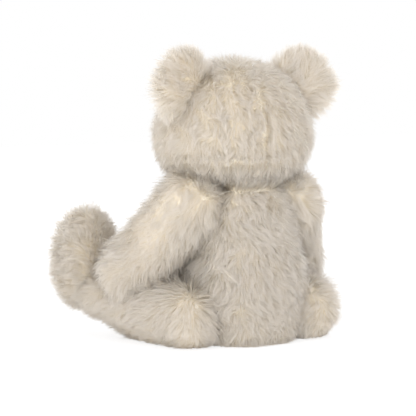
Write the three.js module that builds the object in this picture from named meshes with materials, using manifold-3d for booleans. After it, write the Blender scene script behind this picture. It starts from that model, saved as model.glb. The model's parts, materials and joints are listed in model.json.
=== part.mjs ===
// A jointed plush bear, sitting: ivory long-pile fabric over stuffing, with a bag of pellets in the seat.
// Head, arms and legs turn on plastic disc joints. The solids are the padded skin under the pile.
// Millimetres. The bear sits on Z = 0, faces -Y, its own left side is +X, and the origin is under its seat.

import * as THREE from 'three';
import { mergeVertices } from 'three/addons/utils/BufferGeometryUtils.js';
import Module from 'manifold-3d';

const wasm = await Module();
wasm.setup();

// Fabric and fits
const COVER = 3.2; // backing with the dense foot of the pile
const SEAM_GAP = 0.4; // between two panels along a seam
const STUFFING_GAP = 0.6; // between a cover and what fills it
const JOINT_GAP = 0.4; // between a limb and the torso, at the flat of the joint
const FIT = 0.3; // between hardware and what it seats on
const PAD_THICKNESS = 0.9;

// Torso
const TORSO_HALF_WIDTH = 45;
const TORSO_HALF_DEPTH = 48;
const TORSO_WIDEST_Z = 52;
const TORSO_TOP_Z = 160;
const TORSO_SINK = 0.5; // how far the seat is pressed flat
const TORSO_SEAT_FLAT = 0.72; // of the torso's width, what the pellets hold flat under it
const TORSO_SEAT_Y = -16;
const TORSO_SEAT_SQUARENESS = 2.6; // of the curve from the sides in to the seat
const TORSO_PLAN_SQUARENESS = 2.5;
const TORSO_SHOULDER_RATIO = 0.78; // shoulders against hips
const TORSO_SHOULDER_ROUNDING = 30; // height over which the shoulders round in to the neck
const TORSO_SIDE_SEAM_Y = -14;
const SEAT_SEAM_Z = 33;
const PELLET_BAG = { halfWidth: 24, halfDepth: 30, height: 30, y: -18 };

// Neck and head
const NECK_Y = -24;
const NECK_Z = 149;
const HEAD_Y = -30;
const HEAD_HALF_WIDTH = 71;
const HEAD_HALF_DEPTH = 57;
const HEAD_JOWL_HEIGHT = 38; // from the neck up to the widest level
const HEAD_CROWN_HEIGHT = 67; // from the widest level up to the crown
const HEAD_JOWL_SQUARENESS = 2.4;
const HEAD_CROWN_SQUARENESS = 2.1;
const FACE_SEAM_Y = -24;
const NAPE_SEAM_Z = 168;
const MUZZLE = {
  y: -81,
  z: 180,
  halfWidth: 26,
  halfDepth: 26,
  halfHeight: 20,
  seamAhead: 4, // from the middle of the muzzle to the seam round it
};

// Ears
const EAR = {
  x: 61,
  y: -14,
  belowCrown: 17, // from the crown down to the middle of the ear
  radius: 27,
  halfThickness: 7,
  cup: 15,
  lean: 20,
};
const EAR_DISH = { radius: 19, depth: 3.5 };

// Eyes, nose and mouth
const EYE = { x: 25, rise: 24, radius: 6, dome: 4.2 }; // rise: above the middle of the muzzle
const NOSE = {
  rise: 7, // above the middle of the muzzle
  halfWidth: 9,
  halfHeight: 6.5,
  dome: 5,
  tipShare: 0.7, // the lower edge's width against the upper edge's
};
const BUTTON_RIM = 1; // height of the straight edge of an eye or a nose, under its dome
const SAFETY_STEM = { radius: 1.6, tail: 2.5 };
const SAFETY_WASHER = { radius: 7, thickness: 1.4 };
const MOUTH = { drop: 9, spread: 11, curl: 1.5, thread: 0.8 };

// Arms: the flat of the shoulder joint passes through this point and leans out by the tilt
const SHOULDER = { x: 31, y: -14, z: 119, tilt: 24 };
const ARM = {
  offset: 22, // from the flat of the joint to the middle of the arm
  length: 94, // from the joint axis to the middle of the paw
  pawDrop: 76, // how far the middle of the paw hangs below the joint, at rest on the thigh
  flare: 10, // how far the paw stands further out than the shoulder
  bow: 1, // how far the elbow bows forward
  shoulderReach: 23,
  pawReach: 20,
  shoulderHalfWidth: 27,
  shoulderHalfThickness: 26.5,
  wristShare: 0.55, // of the whole length, where the arm is narrowest
  wristHalfWidth: 30,
  wristHalfThickness: 21,
  pawHalfWidth: 25,
  pawHalfThickness: 21,
};
const PAW_PAD = { radius: 11, forward: 9 };
const PAW_REST_GAP = 1.8; // between a paw and the thigh that it is pressed on

// Legs
const HIP = { x: 38, y: -4, z: 25 };
const LEG = {
  offset: 20, // from the flat of the joint to the middle of the thigh
  splay: 21,
  hipReach: 22,
  heelDistance: 132, // from the joint axis to the middle of the foot
  heelRise: 20,
  kneeAhead: 52,
  kneeOut: 4,
  kneeRise: -8,
  thighHalfHeight: 26.4,
  thighHalfThickness: 27,
  shinHalfHeight: 16.5,
  shinHalfThickness: 18.5,
  thighShare: 0.5, // of the whole length, where the thigh starts to taper
  shinShare: 0.8, // of the whole length, where it has tapered to the shin
};
const FOOT = { halfHeight: 43, halfWidth: 30, halfThickness: 21, rise: 46, lean: 3 };
const SOLE_PAD = { halfHeight: 31, halfWidth: 20 };

// Disc joints
const STEM_RADIUS = 3;
const STEM_BARB = 0.45;
const DISC_THICKNESS = 2.4;
const DISC_BEVEL = 1; // of the edges of discs and washers, and the swell of a disc's back
const WASHER_THICKNESS = 2;
const LOCK_RING = { thickness: 1.8, rim: 3.5, teeth: 5, toothDepth: 1.2 };
const NECK_DISC_RADIUS = 19;
const ARM_DISC_RADIUS = 11;
const LEG_DISC_RADIUS = 12.5;

// How finely each form is faceted: the rings along it and the sides round it
const SKIN = { rings: 11, sides: 20 };
const LINING = { rings: 7, sides: 12 };
const LIMB_SKIN = { rings: 8, sides: 12 };
const LIMB_LINING = { rings: 6, sides: 8 };
const EAR_SKIN = { rings: 7, sides: 16 };
const EAR_LINING = { rings: 5, sides: 12 };
const TURNED_SIDES = 12;
const BORE_SIDES = 8;
const DOME_STEPS = 3;
const CURVE_STEPS = 64;

// Colours
const IVORY_PILE = { color: '#ece5da', roughness: 0.95, metalness: 0 };
const IVORY_SUEDE = { color: '#d9ccb8', roughness: 0.85, metalness: 0 };
const WHITE_FILL = { color: '#f4f4f0', roughness: 1, metalness: 0 };
const BAG_CLOTH = { color: '#e3dfd2', roughness: 0.9, metalness: 0 };
const BLACK_PLASTIC = { color: '#17120f', roughness: 0.12, metalness: 0 };
const WHITE_PLASTIC = { color: '#e9e8e2', roughness: 0.45, metalness: 0 };
const BROWN_THREAD = { color: '#3a2a20', roughness: 0.7, metalness: 0 };

const radians = THREE.MathUtils.degToRad;
const v3 = (x, y, z) => new THREE.Vector3(x, y, z);
const flipped = (vector) => v3(-vector.x, vector.y, vector.z);
const NECK = v3(0, NECK_Y, NECK_Z);
const OVERCUT = 1; // how far a hole's tool stands out past what it cuts

// Solids: three.js geometry into a solid, a solid back into geometry, and the joins and cuts between them

function solidOf(geometry) {
  const bare = geometry.clone();
  bare.deleteAttribute('normal');
  bare.deleteAttribute('uv');
  const welded = mergeVertices(bare, 1e-4);
  const vertProperties = new Float32Array(welded.attributes.position.array);
  const triVerts = new Uint32Array(welded.index.array);
  return new wasm.Manifold(new wasm.Mesh({ numProp: 3, vertProperties, triVerts }));
}

function geometryOf(solid) {
  const mesh = solid.getMesh();
  const geometry = new THREE.BufferGeometry();
  geometry.setAttribute('position', new THREE.BufferAttribute(new Float32Array(mesh.vertProperties), 3));
  geometry.setIndex(new THREE.BufferAttribute(new Uint32Array(mesh.triVerts), 1));
  return geometry;
}

// The same geometry on the other side of the plane X = 0.
function mirrored(geometry) {
  const copy = geometry.clone();
  copy.scale(-1, 1, 1);
  const index = copy.index.array;
  for (let i = 0; i < index.length; i += 3) {
    [index[i], index[i + 1]] = [index[i + 1], index[i]];
  }
  return copy;
}

const BLOCK_SIZE = 700;

// Everything on the side of a plane that its direction points to.
function sideOf(point, direction) {
  const away = direction.clone().normalize();
  const block = new THREE.BoxGeometry(BLOCK_SIZE, BLOCK_SIZE, BLOCK_SIZE);
  block.applyQuaternion(new THREE.Quaternion().setFromUnitVectors(v3(0, 0, 1), away));
  const centre = point.clone().addScaledVector(away, BLOCK_SIZE / 2);
  block.translate(centre.x, centre.y, centre.z);
  return solidOf(block);
}

// Cuts off what lies beyond each flat, moved in by the inset.
function trimmed(solid, flats, inset) {
  return flats.reduce((rest, flat) => {
    const point = flat.point.clone().addScaledVector(flat.out, -inset);
    return rest.subtract(sideOf(point, flat.out));
  }, solid);
}

// One panel of a cover: what lies on the given side of each seam, half a seam gap away from it.
function panel(shell, seams) {
  return seams.reduce((rest, [point, direction]) => {
    const start = point.clone().addScaledVector(direction, SEAM_GAP / 2);
    return rest.intersect(sideOf(start, direction));
  }, shell);
}

// A round bar between two points, used as a hole or a pocket.
function bar(from, to, radius, sides = BORE_SIDES) {
  const span = to.clone().sub(from);
  const shape = new THREE.CylinderGeometry(radius, radius, span.length(), sides);
  shape.applyQuaternion(new THREE.Quaternion().setFromUnitVectors(v3(0, 1, 0), span.clone().normalize()));
  const middle = from.clone().add(to).multiplyScalar(0.5);
  shape.translate(middle.x, middle.y, middle.z);
  return solidOf(shape);
}

// Soft forms: rings of ellipses, or squarer than that, strung on an axis and turned so that a facet looks
// straight down. They close to a point at both ends, or to a flat at the start. Level rings stay level on a
// leaning axis.

function softForm({
  axis, side, halfWidth, halfDepth, rings, sides, squareness = 2, flatStart = false, level = false,
}) {
  const squared = (value) => Math.sign(value) * Math.abs(value) ** (2 / squareness);
  const positions = [...axis.getPoint(0).toArray()];
  const unseen = flatStart ? 0 : 1;
  for (let ring = 0; ring < rings; ring += 1) {
    const t = (1 - Math.cos((Math.PI * (ring + unseen)) / (rings + unseen))) / 2;
    const centre = axis.getPoint(t);
    const along = level ? v3(0, 0, 1) : axis.getTangent(t);
    const across = v3().crossVectors(along, side).normalize();
    for (let step = 0; step < sides; step += 1) {
      const angle = (2 * Math.PI * (step + 0.5)) / sides;
      const point = centre.clone();
      point.addScaledVector(side, halfWidth(t) * squared(Math.cos(angle)));
      point.addScaledVector(across, halfDepth(t) * squared(Math.sin(angle)));
      positions.push(...point.toArray());
    }
  }
  positions.push(...axis.getPoint(1).toArray());

  const index = [];
  const at = (ring, step) => 1 + ring * sides + (step % sides);
  const last = 1 + rings * sides;
  for (let step = 0; step < sides; step += 1) {
    index.push(0, at(0, step + 1), at(0, step));
    for (let ring = 0; ring < rings - 1; ring += 1) {
      index.push(at(ring, step), at(ring + 1, step + 1), at(ring + 1, step));
      index.push(at(ring, step), at(ring, step + 1), at(ring + 1, step + 1));
    }
    index.push(last, at(rings - 1, step), at(rings - 1, step + 1));
  }
  const geometry = new THREE.BufferGeometry();
  geometry.setAttribute('position', new THREE.Float32BufferAttribute(positions, 3));
  geometry.setIndex(index);
  return solidOf(geometry);
}

// How far a superellipse of one half height is still open at a share of that height from its middle.
const opened = (share, squareness) => (1 - Math.min(share, 1) ** squareness) ** (1 / squareness);

// A share that rises from 0 to 1 without a corner between two values.
const eased = (value, from, to) => THREE.MathUtils.smoothstep(value, from, to);

function ellipsoid(centre, radii, sides, bands) {
  const shape = new THREE.SphereGeometry(1, sides, bands);
  shape.scale(...radii);
  shape.translate(...centre);
  return solidOf(shape);
}

// Disc joints, along X: the limb is at positive X, the torso at negative X, and the limb's flat is at X = 0

const washerFace = -(JOINT_GAP + COVER + FIT);
const lockFace = washerFace - WASHER_THICKNESS - FIT;
const stemEnd = lockFace - LOCK_RING.thickness - 4 * STEM_BARB - FIT;
const discFace = COVER + FIT;

// Lathe profiles run along Y, and this turns that axis to X.
function turned(profile, segments = TURNED_SIDES) {
  const points = profile.map(([radius, height]) => new THREE.Vector2(radius, height));
  const shape = new THREE.LatheGeometry(points, segments);
  shape.rotateZ(-Math.PI / 2);
  return solidOf(shape);
}

function jointDisc(radius) {
  const back = discFace + DISC_THICKNESS;
  const barbStart = lockFace - LOCK_RING.thickness - FIT;
  return turned([
    [0, stemEnd],
    [STEM_RADIUS - STEM_BARB, stemEnd],
    [STEM_RADIUS + STEM_BARB, barbStart - STEM_BARB],
    [STEM_RADIUS, barbStart],
    [STEM_RADIUS, discFace],
    [radius, discFace],
    [radius - DISC_BEVEL, back],
    [STEM_RADIUS * 2, back],
    [0, back + DISC_BEVEL],
  ]);
}

function jointWasher(radius) {
  const bore = STEM_RADIUS + FIT;
  const back = washerFace - WASHER_THICKNESS;
  return turned([
    [bore, back],
    [radius - DISC_BEVEL, back],
    [radius, washerFace],
    [bore, washerFace],
    [bore, back],
  ]);
}

// The lock ring grips the stem with spring teeth.
function lockRing() {
  const outer = STEM_RADIUS + FIT + LOCK_RING.toothDepth + LOCK_RING.rim;
  const shape = new THREE.Shape();
  shape.absarc(0, 0, outer, 0, 2 * Math.PI);
  const hole = new THREE.Path();
  const corners = 4 * LOCK_RING.teeth;
  for (let corner = 0; corner < corners; corner += 1) {
    const angle = (2 * Math.PI * corner) / corners;
    const radius = STEM_RADIUS + FIT + (corner % 4 < 2 ? 0 : LOCK_RING.toothDepth);
    const place = [radius * Math.cos(angle), radius * Math.sin(angle)];
    if (corner === 0) {
      hole.moveTo(...place);
    } else {
      hole.lineTo(...place);
    }
  }
  hole.closePath();
  shape.holes.push(hole);
  const ring = new THREE.ExtrudeGeometry(shape, {
    depth: LOCK_RING.thickness,
    bevelEnabled: false,
    curveSegments: TURNED_SIDES / 2,
  });
  ring.rotateY(Math.PI / 2);
  ring.translate(lockFace - LOCK_RING.thickness, 0, 0);
  return solidOf(ring);
}

const hardware = (radius) => ({
  disc: geometryOf(jointDisc(radius)),
  washer: geometryOf(jointWasher(radius)),
  lock: geometryOf(lockRing()),
});

// The hole that a stem goes through, and the room behind the cover for the washer and ring.
function stemHole(origin, axis) {
  const reach = COVER + JOINT_GAP + STUFFING_GAP;
  const from = origin.clone().addScaledVector(axis, -reach);
  const to = origin.clone().addScaledVector(axis, reach);
  return bar(from, to, STEM_RADIUS + STEM_BARB + FIT);
}

function washerRoom(origin, axis, radius) {
  const from = origin.clone().addScaledVector(axis, stemEnd + JOINT_GAP - STUFFING_GAP);
  const to = origin.clone().addScaledVector(axis, -COVER);
  return bar(from, to, radius + STUFFING_GAP, TURNED_SIDES);
}

// The room for a disc inside the cover whose flat lies at a level of the axis.
function discRoomAlong(axis, level, radius) {
  const from = axis.clone().multiplyScalar(level + COVER);
  const to = axis.clone().multiplyScalar(level + discFace + DISC_THICKNESS + DISC_BEVEL + STUFFING_GAP);
  return bar(from, to, radius + STUFFING_GAP, TURNED_SIDES);
}

// Torso

const hipAxis = v3(1, 0, 0);
const shoulderAxis = v3(Math.cos(radians(SHOULDER.tilt)), 0, Math.sin(radians(SHOULDER.tilt)));
const hipPoint = v3(HIP.x, HIP.y, HIP.z);
const shoulderPoint = v3(SHOULDER.x, SHOULDER.y, SHOULDER.z);
const neckAxis = v3(0, 0, 1);

const torsoJoints = [
  { point: NECK, out: neckAxis, radius: NECK_DISC_RADIUS },
  { point: hipPoint, out: hipAxis, radius: LEG_DISC_RADIUS },
  { point: flipped(hipPoint), out: flipped(hipAxis), radius: LEG_DISC_RADIUS },
  { point: shoulderPoint, out: shoulderAxis, radius: ARM_DISC_RADIUS },
  { point: flipped(shoulderPoint), out: flipped(shoulderAxis), radius: ARM_DISC_RADIUS },
];
const torsoFlats = [...torsoJoints, { point: v3(0, 0, 0), out: v3(0, 0, -1) }];

function torsoSwell(z) {
  if (z < TORSO_WIDEST_Z) {
    const rounding = opened((TORSO_WIDEST_Z - z) / (TORSO_WIDEST_Z + TORSO_SINK), TORSO_SEAT_SQUARENESS);
    return TORSO_SEAT_FLAT + (1 - TORSO_SEAT_FLAT) * rounding;
  }
  const taper = 1 - (1 - TORSO_SHOULDER_RATIO) * eased(z, TORSO_WIDEST_Z, TORSO_TOP_Z);
  const roundingStart = TORSO_TOP_Z - TORSO_SHOULDER_ROUNDING;
  return taper * opened(Math.max(z - roundingStart, 0) / TORSO_SHOULDER_ROUNDING, 2);
}

function torsoForm(inset, facets) {
  const bottom = v3(0, TORSO_SEAT_Y, inset - TORSO_SINK);
  const top = v3(0, NECK_Y, TORSO_TOP_Z - inset);
  const levelAt = (t) => t * (TORSO_TOP_Z + TORSO_SINK) - TORSO_SINK;
  const form = softForm({
    axis: new THREE.LineCurve3(bottom, top),
    side: v3(1, 0, 0),
    halfWidth: (t) => (TORSO_HALF_WIDTH - inset) * torsoSwell(levelAt(t)),
    halfDepth: (t) => (TORSO_HALF_DEPTH - inset) * torsoSwell(levelAt(t)),
    squareness: TORSO_PLAN_SQUARENESS,
    flatStart: true,
    level: true,
    ...facets,
  });
  return trimmed(form, torsoFlats, inset);
}

const pelletBag = (grow) => ellipsoid(
  [0, PELLET_BAG.y, COVER + FIT + PELLET_BAG.height / 2],
  [PELLET_BAG.halfWidth + grow, PELLET_BAG.halfDepth + grow, PELLET_BAG.height / 2 + grow],
  LINING.sides,
  LINING.rings,
);

function torsoPieces() {
  const holes = torsoJoints.map(({ point, out }) => stemHole(point, out));
  const rooms = torsoJoints.map(({ point, out, radius }) => washerRoom(point, out, radius));
  const cutAll = (solid, tools) => tools.reduce((rest, tool) => rest.subtract(tool), solid);
  const shell = cutAll(torsoForm(0, SKIN).subtract(torsoForm(COVER, LINING)), [...holes, ...rooms]);

  const seat = v3(0, 0, SEAT_SEAM_Z);
  const side = v3(0, TORSO_SIDE_SEAM_Y, 0);
  const centre = v3(0, 0, 0);
  const [up, down, back, front, left, right] = [
    v3(0, 0, 1), v3(0, 0, -1), v3(0, 1, 0), v3(0, -1, 0), v3(1, 0, 0), v3(-1, 0, 0),
  ];
  return {
    torso_seat_panel: panel(shell, [[seat, down]]),
    torso_back_left: panel(shell, [[seat, up], [side, back], [centre, left]]),
    torso_back_right: panel(shell, [[seat, up], [side, back], [centre, right]]),
    torso_belly_left: panel(shell, [[seat, up], [side, front], [centre, left]]),
    torso_belly_right: panel(shell, [[seat, up], [side, front], [centre, right]]),
    torso_stuffing: cutAll(torsoForm(COVER + STUFFING_GAP, LINING), [...rooms, pelletBag(FIT)]),
    pellet_bag: pelletBag(0),
  };
}

// Head, in its own frame with the neck joint at the origin

const headFlats = [{ point: v3(0, 0, JOINT_GAP), out: v3(0, 0, -1) }];
const toHead = (x, y, z) => v3(x, y, z).sub(NECK);
const headWidestZ = HEAD_JOWL_HEIGHT;

function headSwell(z) {
  return z < headWidestZ
    ? opened((headWidestZ - z) / HEAD_JOWL_HEIGHT, HEAD_JOWL_SQUARENESS)
    : opened((z - headWidestZ) / HEAD_CROWN_HEIGHT, HEAD_CROWN_SQUARENESS);
}

function muzzleForm(inset, facets) {
  const centre = toHead(0, MUZZLE.y, MUZZLE.z);
  const radii = [MUZZLE.halfWidth, MUZZLE.halfDepth, MUZZLE.halfHeight].map((radius) => radius - inset);
  return ellipsoid(centre.toArray(), radii, facets.sides - 4, facets.rings - 2);
}

function headForm(inset, facets) {
  const height = HEAD_JOWL_HEIGHT + HEAD_CROWN_HEIGHT;
  const y = HEAD_Y - NECK_Y;
  const form = softForm({
    axis: new THREE.LineCurve3(v3(0, y, inset), v3(0, y, height - inset)),
    side: v3(1, 0, 0),
    halfWidth: (t) => (HEAD_HALF_WIDTH - inset) * headSwell(t * height),
    halfDepth: (t) => (HEAD_HALF_DEPTH - inset) * headSwell(t * height),
    ...facets,
  });
  return trimmed(form.add(muzzleForm(inset, facets)), headFlats, inset);
}

// A point of the face, or of the muzzle, with the direction that its skin looks in.
function skinPoint(x, z, centre, radii) {
  const share = Math.sqrt(1 - ((x - centre.x) / radii.x) ** 2 - ((z - centre.z) / radii.z) ** 2);
  const point = v3(x, centre.y - radii.y * share, z);
  const out = point.clone().sub(centre).divide(radii).divide(radii).normalize();
  return { point, out };
}

const crownCentre = v3(0, HEAD_Y - NECK_Y, headWidestZ);
const crownRadii = v3(HEAD_HALF_WIDTH, HEAD_HALF_DEPTH, HEAD_CROWN_HEIGHT);
const muzzleCentre = toHead(0, MUZZLE.y, MUZZLE.z);
const muzzleRadii = v3(MUZZLE.halfWidth, MUZZLE.halfDepth, MUZZLE.halfHeight);
const eyeLeftSeat = skinPoint(EYE.x, muzzleCentre.z + EYE.rise, crownCentre, crownRadii);
const eyeRightSeat = { point: flipped(eyeLeftSeat.point), out: flipped(eyeLeftSeat.out) };
const noseSeat = skinPoint(0, muzzleCentre.z + NOSE.rise, muzzleCentre, muzzleRadii);
const faceSeats = [eyeLeftSeat, eyeRightSeat, noseSeat];

// Places a shape that was turned along X on a seat of the face, with +X looking out.
function seated(solid, seat) {
  const geometry = geometryOf(solid);
  geometry.applyQuaternion(new THREE.Quaternion().setFromUnitVectors(v3(1, 0, 0), seat.out));
  geometry.translate(seat.point.x, seat.point.y, seat.point.z);
  return geometry;
}

const safetyWasherFace = -(COVER + FIT);
const safetyStemEnd = safetyWasherFace - SAFETY_WASHER.thickness - SAFETY_STEM.tail;

function eye() {
  const dome = [];
  for (let step = 0; step < DOME_STEPS; step += 1) {
    const angle = (Math.PI / 2) * (step / DOME_STEPS);
    dome.push([EYE.radius * Math.cos(angle), FIT + BUTTON_RIM + EYE.dome * Math.sin(angle)]);
  }
  dome.push([0, FIT + BUTTON_RIM + EYE.dome]);
  const { radius } = SAFETY_STEM;
  return turned([[0, safetyStemEnd], [radius, safetyStemEnd], [radius, FIT], [EYE.radius, FIT], ...dome]);
}

// The nose is made one unit round, then drawn out to its width and height.
function nose() {
  const { radius } = SAFETY_STEM;
  const rim = bar(v3(FIT, 0, 0), v3(FIT + BUTTON_RIM, 0, 0), 1, TURNED_SIDES);
  const dome = ellipsoid([FIT + BUTTON_RIM, 0, 0], [NOSE.dome, 1, 1], TURNED_SIDES, 2 * DOME_STEPS);
  const behind = sideOf(v3(FIT + BUTTON_RIM, 0, 0), v3(-1, 0, 0));
  const button = geometryOf(rim.add(dome.subtract(behind)));
  const place = button.attributes.position;
  for (let i = 0; i < place.count; i += 1) {
    const narrowing = THREE.MathUtils.lerp(NOSE.tipShare, 1, (place.getZ(i) + 1) / 2);
    place.setY(i, place.getY(i) * NOSE.halfWidth * narrowing);
    place.setZ(i, place.getZ(i) * NOSE.halfHeight);
  }
  return solidOf(button).add(bar(v3(safetyStemEnd, 0, 0), v3(FIT + BUTTON_RIM / 2, 0, 0), radius));
}

function safetyWasher() {
  const bore = SAFETY_STEM.radius + FIT;
  const back = safetyWasherFace - SAFETY_WASHER.thickness;
  return turned([
    [bore, back],
    [SAFETY_WASHER.radius, back],
    [SAFETY_WASHER.radius, safetyWasherFace],
    [bore, safetyWasherFace],
    [bore, back],
  ]);
}

// Thread that drops from the nose and parts into a smile. It lies on the muzzle.
function mouthStitches() {
  const lift = MOUTH.thread + FIT;
  const radii = muzzleRadii.clone().addScalar(lift);
  const onMuzzle = (x, z) => skinPoint(x, z, muzzleCentre, radii).point;
  const top = muzzleCentre.z + NOSE.rise - NOSE.halfHeight - 2 * MOUTH.thread;
  const thread = (points) => {
    const round = new THREE.Shape().absarc(0, 0, MOUTH.thread, 0, 2 * Math.PI);
    const path = new THREE.CatmullRomCurve3(points);
    return solidOf(new THREE.ExtrudeGeometry(round, { steps: 4, extrudePath: path, curveSegments: 3 }));
  };
  const fork = top - MOUTH.drop;
  const drop = thread([onMuzzle(0, top), onMuzzle(0, top - MOUTH.drop / 2), onMuzzle(0, fork)]);
  const smile = (side) => thread([
    onMuzzle(0, fork + MOUTH.thread),
    onMuzzle(side * MOUTH.spread * 0.5, fork - MOUTH.curl),
    onMuzzle(side * MOUTH.spread, fork + MOUTH.curl),
  ]);
  return drop.add(smile(1)).add(smile(-1));
}

function headPieces() {
  const outer = headForm(0, SKIN);
  const inner = headForm(COVER, LINING);
  const alongSeat = (seat, from, to, radius) => bar(
    seat.point.clone().addScaledVector(seat.out, from),
    seat.point.clone().addScaledVector(seat.out, to),
    radius,
  );
  let shell = outer.subtract(inner).subtract(stemHole(v3(0, 0, 0), neckAxis));
  let filling = headForm(COVER + STUFFING_GAP, LINING);
  const discRoom = discRoomAlong(v3(0, 0, 1), JOINT_GAP, NECK_DISC_RADIUS);
  shell = shell.subtract(discRoom);
  filling = filling.subtract(discRoom);
  for (const seat of faceSeats) {
    shell = shell.subtract(alongSeat(seat, -2 * COVER, 2 * COVER, SAFETY_STEM.radius + FIT));
    const room = alongSeat(seat, safetyStemEnd - STUFFING_GAP, -COVER, SAFETY_WASHER.radius + STUFFING_GAP);
    shell = shell.subtract(room);
    filling = filling.subtract(room);
  }

  const face = toHead(0, FACE_SEAM_Y, 0);
  const nape = toHead(0, 0, NAPE_SEAM_Z);
  const muzzle = toHead(0, MUZZLE.y - MUZZLE.seamAhead, 0);
  const centre = v3(0, 0, 0);
  const [up, down, back, front, left, right] = [
    v3(0, 0, 1), v3(0, 0, -1), v3(0, 1, 0), v3(0, -1, 0), v3(1, 0, 0), v3(-1, 0, 0),
  ];
  return {
    head_back_left: panel(shell, [[face, back], [nape, up], [centre, left]]),
    head_back_right: panel(shell, [[face, back], [nape, up], [centre, right]]),
    head_nape_left: panel(shell, [[face, back], [nape, down], [centre, left]]),
    head_nape_right: panel(shell, [[face, back], [nape, down], [centre, right]]),
    head_face_panel: panel(shell, [[face, front], [muzzle, back]]),
    muzzle_cover: panel(shell, [[muzzle, front]]),
    head_stuffing: filling,
  };
}

// Ears: a lens of two panels, cupped so that the fronts look outward, its foot cut to the head's curve.
function earPanels() {
  const middle = v3(EAR.x, EAR.y - NECK_Y, HEAD_JOWL_HEIGHT + HEAD_CROWN_HEIGHT - EAR.belowCrown);
  const place = new THREE.Matrix4().compose(
    middle,
    new THREE.Quaternion().setFromEuler(new THREE.Euler(0, radians(EAR.lean), radians(EAR.cup), 'ZYX')),
    v3(1, 1, 1),
  );
  const placed = (shape) => solidOf(shape.applyMatrix4(place));
  const lens = new THREE.SphereGeometry(1, EAR_SKIN.sides, EAR_SKIN.rings);
  lens.scale(EAR.radius, EAR.halfThickness, EAR.radius);
  const dish = new THREE.SphereGeometry(1, EAR_LINING.sides, EAR_LINING.rings);
  dish.scale(EAR_DISH.radius, EAR_DISH.depth, EAR_DISH.radius);
  dish.translate(0, -EAR.halfThickness, 0);
  const ear = placed(lens).subtract(headForm(-FIT, SKIN));
  const back = v3(0, 1, 0).applyEuler(new THREE.Euler(0, 0, radians(EAR.cup)));
  return {
    back: panel(ear, [[middle, back]]),
    front: panel(ear, [[middle, back.clone().negate()]]).subtract(placed(dish)),
  };
}

// Limbs, each in the frame of its joint: X out along the joint axis, the limb's flat at X = 0

// A frame at a joint, with its origin on the limb's flat and one of its own directions along the joint axis.
function jointFrame(point, axis, along = v3(1, 0, 0)) {
  const frame = new THREE.Group();
  frame.position.copy(point).addScaledVector(axis, JOINT_GAP);
  frame.quaternion.setFromUnitVectors(along, axis);
  frame.updateMatrix();
  return frame;
}

const limbFlat = { point: v3(0, 0, 0), out: v3(-1, 0, 0) };

// A width that goes from one named size to the next along a limb, rounded off at both ends.
function limbWidth(t, stops, startShare, endShare) {
  let width = stops[0][1];
  for (let i = 1; i < stops.length; i += 1) {
    width += (stops[i][1] - stops[i - 1][1]) * eased(t, stops[i - 1][0], stops[i][0]);
  }
  const start = opened(Math.max(startShare - t, 0) / startShare, 2);
  const end = opened(Math.max(t - 1 + endShare, 0) / endShare, 2);
  return width * start * end;
}

// Cover halves, filling and pad of a limb from its form, with a room for the joint disc.
function limbPieces(form, discRadius, seamPoint, seamOut, padTool) {
  const hole = bar(v3(-OVERCUT, 0, 0), v3(COVER + OVERCUT, 0, 0), STEM_RADIUS + FIT);
  const room = discRoomAlong(v3(1, 0, 0), 0, discRadius);
  const shell = form(0, LIMB_SKIN).subtract(form(COVER, LIMB_LINING)).subtract(hole).subtract(room);
  const padSkin = form(-FIT - PAD_THICKNESS, LIMB_SKIN).subtract(form(-FIT, LIMB_SKIN));
  return {
    outer: geometryOf(panel(shell, [[seamPoint, seamOut]])),
    inner: geometryOf(panel(shell, [[seamPoint, seamOut.clone().negate()]])),
    stuffing: geometryOf(form(COVER + STUFFING_GAP, LIMB_LINING).subtract(room)),
    pad: geometryOf(padSkin.intersect(padTool)),
  };
}

// Leg

const legAhead = v3(Math.sin(radians(LEG.splay)), -Math.cos(radians(LEG.splay)), 0);
const legOut = v3(Math.cos(radians(LEG.splay)), Math.sin(radians(LEG.splay)), 0);
const legFlats = [limbFlat, { point: v3(0, 0, -HIP.z), out: v3(0, 0, -1) }];
const legPoint = (ahead, rise) => v3(LEG.offset, 0, rise).addScaledVector(legAhead, ahead);

// The line through the middle of the thigh and the shin.
function shankAxis(inset) {
  const start = v3(LEG.offset, LEG.hipReach - inset, 0);
  const knee = v3(LEG.offset + LEG.kneeOut, -LEG.kneeAhead, LEG.kneeRise);
  const end = legPoint(LEG.heelDistance - inset, LEG.heelRise);
  return new THREE.QuadraticBezierCurve3(start, knee, end);
}

function shankForm(inset, facets) {
  const whole = LEG.hipReach + LEG.heelDistance;
  const [startShare, endShare] = [LEG.hipReach / whole, LEG.shinHalfHeight / whole];
  const stopsOf = (thigh, shin) => [[LEG.thighShare, thigh - inset], [LEG.shinShare, shin - inset]];
  const thickness = stopsOf(LEG.thighHalfThickness, LEG.shinHalfThickness);
  const height = stopsOf(LEG.thighHalfHeight, LEG.shinHalfHeight);
  return softForm({
    axis: shankAxis(inset),
    side: legOut,
    halfWidth: (t) => limbWidth(t, thickness, startShare, endShare),
    halfDepth: (t) => limbWidth(t, height, startShare, endShare),
    ...facets,
  });
}

const footCentre = legPoint(LEG.heelDistance, FOOT.rise);
const footLean = radians(FOOT.lean);

function footForm(inset, facets) {
  const foot = new THREE.SphereGeometry(1, facets.sides, facets.rings);
  foot.rotateX(Math.PI / 2);
  foot.scale(FOOT.halfWidth - inset, FOOT.halfThickness - inset, FOOT.halfHeight - inset);
  foot.rotateX(-footLean);
  foot.rotateZ(radians(LEG.splay));
  foot.translate(footCentre.x, footCentre.y, footCentre.z);
  return solidOf(foot);
}

function legForm(inset, facets) {
  return trimmed(shankForm(inset, facets).add(footForm(inset, facets)), legFlats, inset);
}

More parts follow.
